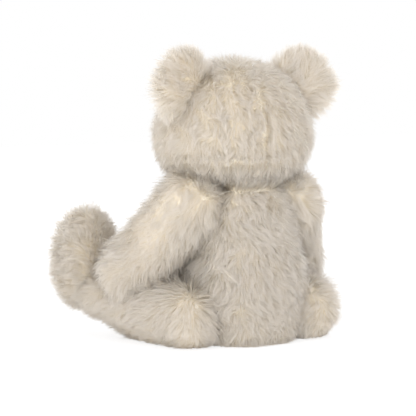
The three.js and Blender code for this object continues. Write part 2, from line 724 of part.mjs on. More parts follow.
function legPieces() {
  const ahead = footCentre.clone().addScaledVector(legAhead, 2 * FOOT.halfThickness);
  const sole = new THREE.CylinderGeometry(1, 1, 2 * FOOT.halfThickness, LIMB_SKIN.sides);
  sole.scale(SOLE_PAD.halfWidth, 1, SOLE_PAD.halfHeight);
  sole.rotateZ(radians(LEG.splay));
  sole.translate((footCentre.x + ahead.x) / 2, (footCentre.y + ahead.y) / 2, footCentre.z);
  return limbPieces(legForm, LEG_DISC_RADIUS, v3(LEG.offset, 0, 0), legOut, solidOf(sole));
}

// Arm

const armSwing = Math.acos(ARM.pawDrop / ARM.length);
const armHang = v3(0, -Math.sin(armSwing), -Math.cos(armSwing));
const armBack = v3(0, Math.cos(armSwing), -Math.sin(armSwing));
const pawCentre = v3(ARM.offset + ARM.flare, 0, 0).addScaledVector(armHang, ARM.length);

// The flat that the paw is pressed to on the thigh, where the leg's middle line comes nearest to the paw.
function pawFlatOnThigh() {
  const toShoulder = jointFrame(shoulderPoint, shoulderAxis).matrix.invert();
  const fromHip = jointFrame(hipPoint, hipAxis).matrix.premultiply(toShoulder);
  const line = shankAxis(0).getPoints(CURVE_STEPS).map((point) => point.applyMatrix4(fromHip));
  const nearest = line.reduce((best, point) => (
    point.distanceTo(pawCentre) < best.distanceTo(pawCentre) ? point : best
  ));
  const out = nearest.clone().sub(pawCentre).normalize();
  const point = nearest.clone().addScaledVector(out, -LEG.thighHalfHeight - PAW_REST_GAP);
  return { point, out };
}

const pawFlat = pawFlatOnThigh();

function armForm(inset, facets) {
  const start = v3(ARM.offset, 0, 0).addScaledVector(armHang, inset - ARM.shoulderReach);
  const end = pawCentre.clone().addScaledVector(armHang, ARM.pawReach - inset);
  const elbow = start.clone().add(end).multiplyScalar(0.5).addScaledVector(armBack, -2 * ARM.bow);
  const whole = ARM.shoulderReach + ARM.length + ARM.pawReach;
  const [startShare, endShare] = [ARM.shoulderReach / whole, ARM.pawReach / whole];
  const stopsOf = (shoulder, wrist, paw) => [
    [startShare, shoulder - inset],
    [ARM.wristShare, wrist - inset],
    [1 - endShare, paw - inset],
  ];
  const thickness = stopsOf(ARM.shoulderHalfThickness, ARM.wristHalfThickness, ARM.pawHalfThickness);
  const width = stopsOf(ARM.shoulderHalfWidth, ARM.wristHalfWidth, ARM.pawHalfWidth);
  const form = softForm({
    axis: new THREE.QuadraticBezierCurve3(start, elbow, end),
    side: v3(1, 0, 0),
    halfWidth: (t) => limbWidth(t, thickness, startShare, endShare),
    halfDepth: (t) => limbWidth(t, width, startShare, endShare),
    ...facets,
  });
  return trimmed(form, [limbFlat, pawFlat], inset);
}

function armPieces() {
  const seamOut = v3(1, 0, 0).addScaledVector(armHang, -ARM.flare / ARM.length).normalize();
  const palm = pawCentre.clone().addScaledVector(armBack, -PAW_PAD.forward);
  const palmTool = bar(v3(0, palm.y, palm.z), palm, PAW_PAD.radius, LIMB_SKIN.sides);
  const padTool = palmTool.subtract(sideOf(pawFlat.point, pawFlat.out));
  return limbPieces(armForm, ARM_DISC_RADIUS, v3(ARM.offset, 0, 0), seamOut, padTool);
}

// Assembly

function mesh(name, geometry, look) {
  const piece = new THREE.Mesh(geometry, new THREE.MeshStandardMaterial(look));
  piece.name = name;
  return piece;
}

const asMeshes = (pieces, look) => (
  Object.entries(pieces).map(([name, solid]) => mesh(name, geometryOf(solid), look))
);

const group = new THREE.Group();

const { torso_stuffing: torsoStuffing, pellet_bag: bag, ...torsoPanels } = torsoPieces();
const torso = new THREE.Group();
torso.add(...asMeshes(torsoPanels, IVORY_PILE));
torso.add(mesh('torso_stuffing', geometryOf(torsoStuffing), WHITE_FILL));
torso.add(mesh('pellet_bag', geometryOf(bag), BAG_CLOTH));
group.add(torso);

const head = new THREE.Group();
head.position.copy(NECK);
const { head_stuffing: headStuffing, ...headPanels } = headPieces();
head.add(...asMeshes(headPanels, IVORY_PILE));
head.add(mesh('head_stuffing', geometryOf(headStuffing), WHITE_FILL));
const ear = earPanels();
for (const [side, turn] of [['left', (shape) => shape], ['right', mirrored]]) {
  head.add(mesh(`ear_${side}_back`, turn(geometryOf(ear.back)), IVORY_PILE));
  head.add(mesh(`ear_${side}_front`, turn(geometryOf(ear.front)), IVORY_PILE));
}
for (const [side, seat] of [['left', eyeLeftSeat], ['right', eyeRightSeat]]) {
  head.add(mesh(`eye_${side}`, seated(eye(), seat), BLACK_PLASTIC));
  head.add(mesh(`eye_${side}_washer`, seated(safetyWasher(), seat), WHITE_PLASTIC));
}
head.add(mesh('nose', seated(nose(), noseSeat), BLACK_PLASTIC));
head.add(mesh('nose_washer', seated(safetyWasher(), noseSeat), WHITE_PLASTIC));
head.add(mesh('mouth_stitches', geometryOf(mouthStitches()), BROWN_THREAD));
group.add(head);

// A joint's hardware: the disc, with the lock ring on its stem, turns with the limb or the head, and the washer
// stays with the torso.
function hardwareFrame(name, point, axis, radius) {
  const frame = jointFrame(point, axis);
  const { disc, washer, lock } = hardware(radius);
  frame.add(mesh(`${name}_joint_disc`, disc, WHITE_PLASTIC));
  frame.add(mesh(`${name}_washer`, washer, WHITE_PLASTIC));
  frame.add(mesh(`${name}_lock_ring`, lock, WHITE_PLASTIC));
  return frame;
}

group.add(hardwareFrame('neck', NECK, neckAxis, NECK_DISC_RADIUS));

const limbs = [
  {
    limb: 'arm',
    pad: 'paw_pad',
    pieces: armPieces(),
    point: shoulderPoint,
    axis: shoulderAxis,
    discRadius: ARM_DISC_RADIUS,
  },
  {
    limb: 'leg',
    pad: 'sole_pad',
    pieces: legPieces(),
    point: hipPoint,
    axis: hipAxis,
    discRadius: LEG_DISC_RADIUS,
  },
];
const sides = [
  { side: 'left', turn: (shape) => shape, facing: (vector) => vector },
  { side: 'right', turn: mirrored, facing: flipped },
];
for (const { side, turn, facing } of sides) {
  for (const { limb, pad, pieces, point, axis, discRadius } of limbs) {
    const frame = jointFrame(facing(point), facing(axis), facing(v3(1, 0, 0)));
    frame.add(mesh(`${limb}_${side}_outer`, turn(pieces.outer), IVORY_PILE));
    frame.add(mesh(`${limb}_${side}_inner`, turn(pieces.inner), IVORY_PILE));
    frame.add(mesh(`${limb}_${side}_stuffing`, turn(pieces.stuffing), WHITE_FILL));
    frame.add(mesh(`${pad}_${side}`, turn(pieces.pad), IVORY_SUEDE));
    group.add(frame, hardwareFrame(`${limb}_${side}`, facing(point), facing(axis), discRadius));
  }
}

export default group;
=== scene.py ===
"""A jointed plush bear of ivory long-pile fabric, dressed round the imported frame.

Each body of the bear gets a smooth padded skin, split into the panels that the frame has, and a pile of
tapered strands that grow from it. The pile's direction is a flow over each body, as a comb would leave it.
Places and lengths are in metres. The bear faces -Y, and its own left side is +X.
"""

import sys
import json
import logging
import math
from dataclasses import dataclass, field, replace
from enum import Enum
from typing import Callable, Iterable, Sequence

import bpy
import numpy as np
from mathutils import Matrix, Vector
from mathutils.bvhtree import BVHTree
from mathutils.kdtree import KDTree

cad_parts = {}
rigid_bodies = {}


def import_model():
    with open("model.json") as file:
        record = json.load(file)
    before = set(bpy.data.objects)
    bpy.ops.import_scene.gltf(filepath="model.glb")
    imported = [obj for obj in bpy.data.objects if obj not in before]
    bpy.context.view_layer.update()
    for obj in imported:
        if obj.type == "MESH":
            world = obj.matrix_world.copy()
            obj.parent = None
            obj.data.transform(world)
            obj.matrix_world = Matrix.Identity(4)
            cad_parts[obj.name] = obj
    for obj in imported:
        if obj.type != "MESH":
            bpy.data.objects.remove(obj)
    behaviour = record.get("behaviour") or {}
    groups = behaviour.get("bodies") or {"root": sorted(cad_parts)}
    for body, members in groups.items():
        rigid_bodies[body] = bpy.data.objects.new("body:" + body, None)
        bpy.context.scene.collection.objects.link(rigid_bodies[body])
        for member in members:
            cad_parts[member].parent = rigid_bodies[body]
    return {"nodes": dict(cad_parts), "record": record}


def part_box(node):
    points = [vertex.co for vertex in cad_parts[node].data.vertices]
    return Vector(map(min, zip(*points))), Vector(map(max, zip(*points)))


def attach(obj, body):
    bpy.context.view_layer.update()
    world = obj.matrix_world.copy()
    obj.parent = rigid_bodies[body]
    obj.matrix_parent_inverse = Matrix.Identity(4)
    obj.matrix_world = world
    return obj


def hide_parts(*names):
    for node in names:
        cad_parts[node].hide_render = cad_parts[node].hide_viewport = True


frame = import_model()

log = logging.getLogger("bear")

MM = 0.001
UP = np.array([0.0, 0.0, 1.0])
DOWN = -UP
LEVEL = np.array([1, 1, 0])  # what a direction is multiplied by to leave out its height
MID_PLANE = np.array([0, 1, 1])  # and to leave out its way to the side
STEEP = 0.9  # Z of a unit vector that is nearly upright
Array = np.ndarray
Span = tuple[float, float]
Place = tuple[float, float, float]
Flow = Callable[[Array, Array], Array]  # the pile's directions, from points and normals
Share = Callable[[Array, Array], Array]  # one number for each point, from points and normals


class Slot(Enum):
    """The record's material slots, given with each new piece."""

    PILE = "ivory_pile"
    SUEDE = "ivory_suede"
    FILL = "fibre_fill"
    BAG = "pellet_bag"
    THREAD = "brown_thread"


class Side(Enum):
    """The bear's own sides."""

    LEFT = "left"
    RIGHT = "right"

    @property
    def sign(self) -> int:
        """1 on the left, where X is positive, and -1 on the right."""
        return 1 if self is Side.LEFT else -1


# Finishes


@dataclass(frozen=True)
class PileFinish:
    """Acrylic pile: yellower and darker at the foot as painted shade deep in the pile, near white at its
    tips, and lit through.
    """

    name: str = "Acrylic pile, knitted in and sheared"
    # From foot to tip: the yellower, darker colour at the foot is painted shade deep in the pile.
    stops: tuple[tuple[float, str], ...] = ((0.02, "#f3ede1"), (0.38, "#f6f2ea"), (0.9, "#f9f6f2"))
    warm: str = "#faf5ec"
    warm_share: float = 0.5
    glow: float = 0.6
    roughness: float = 0.8
    specular: float = 0.25


@dataclass(frozen=True)
class ClothFinish:
    """Cloth or loose fibre, with the spacing of its threads."""

    name: str
    colour: str
    # the darker colour, which goes where the grain is low: painted shade in its hollows
    shade: str
    thread: float
    roughness: float
    bump: float
    shade_span: Span = (0.3, 0.7)
    detail: float = 3.0
    relief: float = 0.3  # height of the grain, as a share of the thread's width


@dataclass(frozen=True)
class MouldedFinish:
    """Injection moulded plastic."""

    name: str
    colour: str
    roughness: float
    coat: float = 0.0
    coat_roughness: float = 0.05


# Knit with its loops brushed up: matt cream, with painted shade between the loops.
BACKING = ClothFinish("Knitted backing, brushed", "#f3ecdd", "#eae1cd", 0.9 * MM, 0.95, 0.2)
# Split microfibre with a short nap: fine soft mottling and no gloss.
SUEDE = ClothFinish("Microfibre suede, short nap", "#d9ccb8", "#c3b298", 0.35 * MM, 0.9, 0.12)
# Carded polyester: single fibres are too fine to show, so the pattern has the size of their clumps.
FIBRE = ClothFinish("Polyester fibre fill, carded", "#f4f4f0", "#d8d8d2", 2.5 * MM, 1.0, 0.5)
# Plain weave of undyed cotton: a dull even grain.
COTTON = ClothFinish("Plain woven cotton", "#e3dfd2", "#c9c3b0", 0.5 * MM, 0.9, 0.25)
# Stranded cotton thread: dark brown with a slight sheen along the strands.
THREAD = ClothFinish("Stranded embroidery thread", "#3a2a20", "#20150f", 0.25 * MM, 0.7, 0.3)
# Acrylic from a polished mould: near black, with a clear sharp reflection.
POLISHED_BLACK = MouldedFinish("Black acrylic, moulded and polished", "#0f0b09", 0.14, 0.3)
# Polypropylene as it leaves the mould: waxy off-white.
MOULDED_WHITE = MouldedFinish("Natural polypropylene, moulded", "#e9e8e2", 0.42)


def linear(code: str) -> tuple[float, float, float, float]:
    """Turns an sRGB hex colour into the linear colour that a shader takes.

    Args:
        code: six hex digits after a hash sign.

    Returns:
        Red, green, blue and alpha.
    """
    parts = [int(code[i : i + 2], 16) / 255 for i in (1, 3, 5)]
    return (*[c / 12.92 if c <= 0.04045 else ((c + 0.055) / 1.055) ** 2.4 for c in parts], 1.0)


def add_node(
    tree: bpy.types.NodeTree,
    kind: str,
    inputs: dict | None = None,
    stops: Sequence[tuple[float, str]] = (),
    **settings: object,
) -> bpy.types.Node:
    """Adds a shader node.

    Args:
        tree: the tree that it goes in.
        kind: the node's type name.
        inputs: sockets that feed it, or values, by input name or number.
        stops: places and sRGB hex colours, where it is a colour ramp.
        settings: attributes of the node.

    Returns:
        The node.
    """
    node = tree.nodes.new(kind)
    for name, value in settings.items():
        setattr(node, name, value)
    for name, value in (inputs or {}).items():
        if isinstance(value, bpy.types.NodeSocket):
            tree.links.new(value, node.inputs[name])
        else:
            node.inputs[name].default_value = value
    if stops:
        elements = node.color_ramp.elements
        elements.remove(elements[1])
        elements[0].position = stops[0][0]
        elements[0].color = linear(stops[0][1])
        for place, colour in stops[1:]:
            elements.new(place).color = linear(colour)
    return node


def new_material(name: str) -> tuple[bpy.types.Material, bpy.types.NodeTree]:
    """Adds a material without nodes.

    Args:
        name: the real material and how it was made.

    Returns:
        The material and its node tree.
    """
    material = bpy.data.materials.new(name)
    material.use_nodes = True
    material.node_tree.nodes.clear()
    return material, material.node_tree


def pile_material(finish: PileFinish) -> bpy.types.Material:
    """Makes pile fabric by the strand: U picks its shade and V runs from foot to tip.

    The light that goes through each strand gives the pile its soft bright edges.

    Args:
        finish: its colours and values.

    Returns:
        The material.
    """
    material, tree = new_material(finish.name)
    uv = add_node(tree, "ShaderNodeUVMap", uv_map="OFBake")
    across_along = add_node(tree, "ShaderNodeSeparateXYZ", {0: uv.outputs[0]})
    # Along each strand: painted shade at the foot, lighter towards the tip.
    along = add_node(tree, "ShaderNodeValToRGB", {0: across_along.outputs[1]}, finish.stops)
    share = {0: across_along.outputs[0], 1: finish.warm_share}
    warmth = add_node(tree, "ShaderNodeMath", share, operation="MULTIPLY")
    tint = {0: warmth.outputs[0], 6: along.outputs[0], 7: linear(finish.warm)}
    tinted = add_node(tree, "ShaderNodeMix", tint, data_type="RGBA", blend_type="MULTIPLY")
    colour = tinted.outputs[2]
    surface = {"Base Color": colour, "Roughness": finish.roughness, "Specular IOR Level": finish.specular}
    body = add_node(tree, "ShaderNodeBsdfPrincipled", surface)
    through = add_node(tree, "ShaderNodeBsdfTranslucent", {"Color": colour})
    both = add_node(tree, "ShaderNodeMixShader", {0: finish.glow, 1: body.outputs[0], 2: through.outputs[0]})
    add_node(tree, "ShaderNodeOutputMaterial", {"Surface": both.outputs[0]})
    return material


def cloth_material(finish: ClothFinish) -> bpy.types.Material:
    """Makes cloth with a fine uneven surface, at the scale of its threads.

    Args:
        finish: its colours and values.

    Returns:
        The material.
    """
    material, tree = new_material(finish.name)
    place = add_node(tree, "ShaderNodeTexCoord")
    grain = {"Vector": place.outputs["Object"], "Scale": 1 / finish.thread, "Detail": finish.detail}
    noise = add_node(tree, "ShaderNodeTexNoise", grain)
    # One noise gives both colour and height, so the darker colour lies in the grain's hollows: painted shade
    # there, along with the cloth's own mottling.
    stops = tuple(zip(finish.shade_span, (finish.shade, finish.colour)))
    ramp = add_node(tree, "ShaderNodeValToRGB", {0: noise.outputs[0]}, stops)
    height = finish.relief * finish.thread
    relief = {"Height": noise.outputs[0], "Strength": finish.bump, "Distance": height}
    bump = add_node(tree, "ShaderNodeBump", relief)
    surface = {"Base Color": ramp.outputs[0], "Normal": bump.outputs[0], "Roughness": finish.roughness}
    body = add_node(tree, "ShaderNodeBsdfPrincipled", surface)
    add_node(tree, "ShaderNodeOutputMaterial", {"Surface": body.outputs[0]})
    return material


def moulded_material(finish: MouldedFinish) -> bpy.types.Material:
    """Makes moulded plastic: an even colour, and a clear sharp reflection where it is polished.

    Args:
        finish: its colour and values.

    Returns:
        The material.
    """
    material, tree = new_material(finish.name)
    surface = {"Base Color": linear(finish.colour), "Roughness": finish.roughness}
    polish = {"Coat Weight": finish.coat, "Coat Roughness": finish.coat_roughness}
    body = add_node(tree, "ShaderNodeBsdfPrincipled", surface | polish)
    add_node(tree, "ShaderNodeOutputMaterial", {"Surface": body.outputs[0]})
    return material


class Palette:
    """Every material of the bear, made once."""

    def __init__(self) -> None:
        """Makes the materials."""
        self.pile = pile_material(PileFinish())
        self.backing = cloth_material(BACKING)
        self.suede = cloth_material(SUEDE)
        self.fibre = cloth_material(FIBRE)
        self.cotton = cloth_material(COTTON)
        self.thread = cloth_material(THREAD)
        self.black = moulded_material(POLISHED_BLACK)
        self.white = moulded_material(MOULDED_WHITE)


# Skins

PLUG_SIDES = 12
EDGES = ((0, 1), (1, 2), (2, 0))


def unit(vectors: Array) -> Array:
    """Vectors of length 1 along the last axis."""
    return vectors / np.maximum(np.linalg.norm(vectors, axis=-1, keepdims=True), 1e-12)


def along_skin(vectors: Array, normals: Array) -> Array:
    """The directions laid down on the skin, with length 1."""
    return unit(vectors - np.sum(vectors * normals, axis=1, keepdims=True) * normals)


def rise(value: Array, start: float, end: float) -> Array:
    """A share that goes smoothly from 0 at the start to 1 at the end."""
    t = np.clip((value - start) / (end - start), 0, 1)
    return t * t * (3 - 2 * t)


def distance_from(points: Array, place: Array) -> Array:
    """How far each point is from a place."""
    return np.linalg.norm(points - place, axis=1)


@dataclass
class Surface:
    """Triangles as arrays: points, and three point numbers to a triangle."""

    points: Array
    triangles: Array

    def normals(self) -> Array:
        """Works out the points' normals.

        Returns:
            One unit normal to a point, from the triangles round it.
        """
        a, b, c = (self.points[self.triangles[:, k]] for k in range(3))
        face = np.cross(b - a, c - a)
        total = np.zeros_like(self.points)
        for k in range(3):
            np.add.at(total, self.triangles[:, k], face)
        return unit(total)

    def tree(self) -> BVHTree:
        """A search tree over the triangles."""
        return BVHTree.FromPolygons(self.points.tolist(), self.triangles.tolist())

    def part(self, chosen: Array) -> "Surface":
        """Cuts out some of the triangles.

        Args:
            chosen: which triangles, as numbers or as true and false.

        Returns:
            These triangles, with only the points that they use.
        """
        triangles = self.triangles[chosen]
        used, index = np.unique(triangles, return_inverse=True)
        return Surface(self.points[used], index.reshape(-1, 3))


def surface_of(mesh: bpy.types.Mesh) -> Surface:
    """Reads the triangles of a mesh.

    Args:
        mesh: any mesh.

    Returns:
        Its triangles.
    """
    mesh.calc_loop_triangles()
    points = np.empty(len(mesh.vertices) * 3)
    mesh.vertices.foreach_get("co", points)
    triangles = np.empty(len(mesh.loop_triangles) * 3, dtype=np.int64)
    mesh.loop_triangles.foreach_get("vertices", triangles)
    return Surface(points.reshape(-1, 3), triangles.reshape(-1, 3))


def node_surface(name: str) -> Surface:
    """The triangles of a node of the frame."""
    return surface_of(frame["nodes"][name].data)


def joined(surfaces: Sequence[Surface]) -> Surface:
    """Puts several surfaces in one.

    Args:
        surfaces: the surfaces, in order.

    Returns:
        One surface with all their triangles.
    """
    starts = np.cumsum([0] + [len(s.points) for s in surfaces[:-1]])
    return Surface(
        np.vstack([s.points for s in surfaces]),
        np.vstack([s.triangles + start for s, start in zip(surfaces, starts)]),
    )


def mesh_object(name: str, surface: Surface, smooth: bool = True) -> bpy.types.Object:
    """Adds an object made of triangles.

    Args:
        name: its name.
        surface: its triangles.
        smooth: whether it is shaded smooth.

    Returns:
        The object.
    """
    mesh = bpy.data.meshes.new(name)
    mesh.from_pydata(surface.points.tolist(), [], surface.triangles.tolist())
    mesh.polygons.foreach_set("use_smooth", [smooth] * len(mesh.polygons))
    obj = bpy.data.objects.new(name, mesh)
    bpy.context.scene.collection.objects.link(obj)
    return obj


def plug(centre: Array, axis: Array, radius: float, thickness: float) -> Surface:
    """Makes a closed disc that fills a stem hole before a skin is drawn over it.

    Args:
        centre: the middle of the disc.
        axis: its unit axis.
        radius: its radius.
        thickness: its thickness.

    Returns:
        The disc.
    """
    side = unit(np.cross(axis, UP if abs(axis[2]) < STEEP else np.array([1.0, 0, 0])))
    other = np.cross(axis, side)
    angles = 2 * np.pi * np.arange(PLUG_SIDES) / PLUG_SIDES
    ring = radius * (np.cos(angles)[:, None] * side + np.sin(angles)[:, None] * other)
    low = centre - axis * thickness / 2
    high = centre + axis * thickness / 2
    points = np.vstack([ring + low, ring + high, low, high])
    low_middle, high_middle = 2 * PLUG_SIDES, 2 * PLUG_SIDES + 1
    triangles = []
    for k in range(PLUG_SIDES):
        n = (k + 1) % PLUG_SIDES
        above, above_next = PLUG_SIDES + k, PLUG_SIDES + n
        triangles += [[k, n, above_next], [k, above_next, above]]
        triangles += [[n, k, low_middle], [above, above_next, high_middle]]
    return Surface(points, np.array(triangles))


def smoothed(surface: Surface, rounds: int) -> Surface:
    """Draws each point halfway to the mean of its neighbours, several times.

    Args:
        surface: what is smoothed.
        rounds: how often.

    Returns:
        The smooth surface.
    """
    edges = np.vstack([surface.triangles[:, edge] for edge in EDGES])
    count = np.bincount(edges[:, 0], minlength=len(surface.points))[:, None]
    points = surface.points.copy()
    for _ in range(rounds):
        total = np.zeros_like(points)
        np.add.at(total, edges[:, 0], points[edges[:, 1]])
        points = 0.5 * points + 0.5 * total / np.maximum(count, 1)
    return Surface(points, surface.triangles)


def largest_island(surface: Surface) -> Surface:
    """Finds the connected part with the most triangles, which is the outer skin.

    Args:
        surface: all the parts.

    Returns:
        That part alone.
    """
    label = np.arange(len(surface.points))
    while True:
        lowest = label[surface.triangles].min(axis=1)
        new = label.copy()
        for k in range(3):
            np.minimum.at(new, surface.triangles[:, k], lowest)
        new = new[new]
        if np.array_equal(new, label):
            break
        label = new
    names, counts = np.unique(label[surface.triangles[:, 0]], return_counts=True)
    return surface.part(label[surface.triangles[:, 0]] == names[counts.argmax()])


def wrapped(surface: Surface, cell: float, rounds: int) -> Surface:
    """Draws one smooth closed skin round a set of solids.

    Args:
        surface: the solids.
        cell: size of the grid that the skin is drawn on.
        rounds: how often it is smoothed.

    Returns:
        The skin.
    """
    rough = mesh_object("rough", surface)
    remesh = rough.modifiers.new("skin", "REMESH")
    remesh.mode = "VOXEL"
    remesh.voxel_size = cell
    done = rough.evaluated_get(bpy.context.evaluated_depsgraph_get())
    skin = largest_island(surface_of(done.to_mesh()))
    done.to_mesh_clear()
    bpy.data.objects.remove(rough)
    return smoothed(skin, rounds)


# Pile

SEGMENTS = 3  # straight pieces of a strand
STEPS = np.arange(SEGMENTS + 1)
SWIRL_WAVES = ((1.0, 0.6), (0.5, 0.3), (0.25, 0.22))  # size and weight of each set of waves
SWIRL_EVEN = 1.7  # brings a sum of three waves back to about 1
LYING = (0.1, 0.6)  # sine from flow to normal where the pile begins to lie, and where it lies
STREWN = 0.6  # weight of the random lean where the pile stands up
STANDING = 72  # degrees to the skin, where it stands up
BEND = 0.7  # below 1, a strand bends over early
TUFT_BEND = 1.3  # above 1, strands draw together near their tips only
TUFT_SPREAD = (0.55, 1.15)
CLEAR_OF_SKIN = (0.5 * MM, 1.6 * MM)  # at the foot, and what the tip has on top
CLEAR_OF_FLOOR = (0.35 * MM, 0.3 * MM)
ROLL = 1.1  # radians that a strip turns about its own length, to either side
WAVE_STEP = 2.2  # radians of the crimp from one segment to the next
THICKNESS_SPREAD = (0.7, 1.3)
STRIP_U = 0.01  # width of one strip on the U axis
TAPER = (0.75, 0.5, -0.75)  # width at the foot, and its change by height and by height squared
LENGTH_CLIP = (-0.8, 0.45)  # of the logarithm of a strand's share of the length


@dataclass(frozen=True)
class Pile:
    """How the pile of one area grows, with its angles to the skin in degrees.

    A strand stands for a lock of fibres and is as wide as one, because single fibres are too fine to show.
    """

    length: float = 13 * MM
    length_spread: float = 0.22
    width: float = 0.4 * MM
    density: float = 1.8  # strands to a square millimetre
    foot_angle: float = 62
    tip_angle: float = 14
    angle_spread: float = 16
    droop: float = 0.2
    swirl: float = 50  # degrees that the flow wanders to either side
    swirl_size: float = 15 * MM
    tuft_spacing: float = 5 * MM
    tuft_pull: float = 0.35
    softness: float = 0.82  # how far the shading follows the skin instead of each strand
    wave: float = 0.45 * MM
    seed: int = 1


@dataclass(frozen=True)
class Seam:
    """Where two panels meet and the pile parts: a plane, and where on it the parting shows."""

    point: Place
    normal: Place
    low: Place = (-1, -1, -1)
    high: Place = (1, 1, 1)
    reach: float = 7 * MM
    strength: float = 0.9

    def away(self, points: Array) -> tuple[Array, Array]:
        """Tells how the pile leans away from the seam.

        Args:
            points: the feet of the pile.

        Returns:
            The direction at each point, and the share that it has there.
        """
        normal = np.array(self.normal)
        distance = (points - np.array(self.point)) @ normal
        inside = np.all((points >= np.array(self.low)) & (points <= np.array(self.high)), axis=1)
        share = self.strength * inside * (1 - rise(np.abs(distance), 0, self.reach))
        return np.sign(distance)[:, None] * normal, share[:, None]


def swirled(directions: Array, normals: Array, points: Array, pile: Pile) -> Array:
    """Turns the flow on the skin by a slow seeded wave, so that it wanders as brushed pile does.

    Args:
        directions: the flow, laid on the skin.
        normals: the skin's normals.
        points: where on the skin.
        pile: the settings.

    Returns:
        The turned directions.
    """
    rng = np.random.default_rng(pile.seed)
    angle = np.zeros(len(points))
    for scale, weight in SWIRL_WAVES:
        waves = unit(rng.normal(size=(3, 3))) * 2 * np.pi / (pile.swirl_size * scale * 2)
        phase = rng.uniform(0, 2 * np.pi, 3)
        angle += weight * np.sin(points @ waves.T + phase).sum(axis=1) / SWIRL_EVEN
    angle *= math.radians(pile.swirl)
    across = np.cross(normals, directions)
    return directions * np.cos(angle)[:, None] + across * np.sin(angle)[:, None]


def grown(
    points: Array, normals: Array, flow: Flow, lengths: Array, pile: Pile, rng: np.random.Generator
) -> Array:
    """Makes paths that rise from the skin, lie down along the flow and droop.

    Where the flow runs straight into or out of the skin, the pile stands up and leans all ways.

    Args:
        points: the feet.
        normals: the skin's normals there.
        flow: gives the direction of the pile.
        lengths: length of each strand.
        pile: the settings.
        rng: seeded source of the spread.

    Returns:
        The paths: strands by SEGMENTS + 1 by 3.
    """
    pull = unit(flow(points, normals))
    lean = rise(np.linalg.norm(np.cross(pull, normals), axis=1), *LYING)[:, None]
    strewn = along_skin(rng.normal(size=points.shape), normals)
    lying = along_skin(pull * lean + strewn * (1 - lean) * STREWN, normals)
    lying = swirled(lying, normals, points, pile)
    path = [points]
    spread = rng.normal(0, pile.angle_spread, len(points))
    for step in range(SEGMENTS):
        share = (step + 0.5) / SEGMENTS
        laid = pile.foot_angle + (pile.tip_angle - pile.foot_angle) * share**BEND
        angle = np.radians(laid + (STANDING - laid) * (1 - lean[:, 0]) * STREWN + spread)[:, None]
        direction = lying * np.cos(angle) + normals * np.sin(angle) + DOWN * pile.droop * share
        path.append(path[-1] + unit(direction) * (lengths / SEGMENTS)[:, None])
    return np.stack(path, axis=1)


def sampled(
    skin: Surface, density: float, share: Share | None, rng: np.random.Generator
) -> tuple[Array, Array]:
    """Strews feet over a skin.

    Args:
        skin: where they stand.
        density: how many to a square millimetre.
        share: thins them out.
        rng: seeded source of their places.

    Returns:
        The feet and their normals.
    """
    normals = skin.normals()
    a, b, c = (skin.points[skin.triangles[:, k]] for k in range(3))
    area = np.linalg.norm(np.cross(b - a, c - a), axis=1) / 2
    total = int(area.sum() / MM**2 * density)
    if total == 0:
        return np.zeros((0, 3)), np.zeros((0, 3))
    chosen = rng.choice(len(area), total, p=area / area.sum())
    u, v = rng.random(total), rng.random(total)
    u, v = np.where(u + v > 1, 1 - u, u), np.where(u + v > 1, 1 - v, v)
    weights = np.stack([1 - u - v, u, v], axis=1)[:, :, None]
    feet = (skin.points[skin.triangles[chosen]] * weights).sum(axis=1)
    out = unit((normals[skin.triangles[chosen]] * weights).sum(axis=1))
    if share is not None:
        kept = rng.random(total) < share(feet, out)
        feet, out = feet[kept], out[kept]
    return feet, out


def tufted(
    paths: Array, flow: Flow, skin: Surface, lengths: Array, pile: Pile, rng: np.random.Generator
) -> Array:
    """Draws the tips together to tufts.

    Args:
        paths: the strands.
        flow: gives the direction of the pile.
        skin: where they stand.
        lengths: length of each strand.
        pile: the settings.
        rng: seeded source of the tufts' places.

    Returns:
        The tufted paths.
    """
    feet = paths[:, 0]
    centres, out = sampled(skin, MM**2 / pile.tuft_spacing**2, None, rng)
    if len(centres) == 0:
        return paths
    cores = grown(centres, out, flow, np.full(len(centres), float(lengths.mean())), pile, rng)
    tree = KDTree(len(centres))
    for index, centre in enumerate(centres):
        tree.insert(centre, index)
    tree.balance()
    nearest = np.array([tree.find(foot)[1] for foot in feet], dtype=np.int64)
    share = (STEPS / SEGMENTS) ** TUFT_BEND
    pull = pile.tuft_pull * share[None, :, None] * rng.uniform(*TUFT_SPREAD, (len(feet), 1, 1))
    return paths + (cores[nearest] - paths) * pull


def lifted(paths: Array, tree: BVHTree) -> Array:
    """Keeps every strand out of the skin and above the floor.

    Args:
        paths: the strands.
        tree: the skin.

    Returns:
        The paths, moved where they have to be.
    """
    paths = paths.copy()
    at_foot, more = CLEAR_OF_SKIN
    for step in STEPS[1:]:
        clear = at_foot + more * step / SEGMENTS
        for index, point in enumerate(paths[:, step]):
            place, normal, _, _ = tree.find_nearest(point)
            height = (Vector(point) - place).dot(normal)
            if height < clear:
                paths[index, step] = np.array(Vector(point) + normal * (clear - height))
    at_foot, more = CLEAR_OF_FLOOR
    low = at_foot + rise(STEPS, 0, SEGMENTS) * more
    paths[:, :, 2] = np.maximum(paths[:, :, 2], low[None, :])
    return paths


def strip_corners() -> tuple[Array, Array, Array]:
    """Lays out one strand as a strip of quads with a triangle at its tip.

    Returns:
        The point number at each corner, the first corner of each face, and each corner's place across and
        along.
    """
    loops, starts, where = [], [], []
    for step in range(SEGMENTS - 1):
        a = 2 * step
        starts.append(len(loops))
        loops += [a, a + 1, a + 3, a + 2]
        where += [(0, step), (1, step), (1, step + 1), (0, step + 1)]
    last = 2 * (SEGMENTS - 1)
    starts.append(len(loops))
    loops += [last, last + 1, last + 2]
    where += [(0, SEGMENTS - 1), (1, SEGMENTS - 1), (0.5, SEGMENTS)]
    return np.array(loops), np.array(starts), np.array(where)


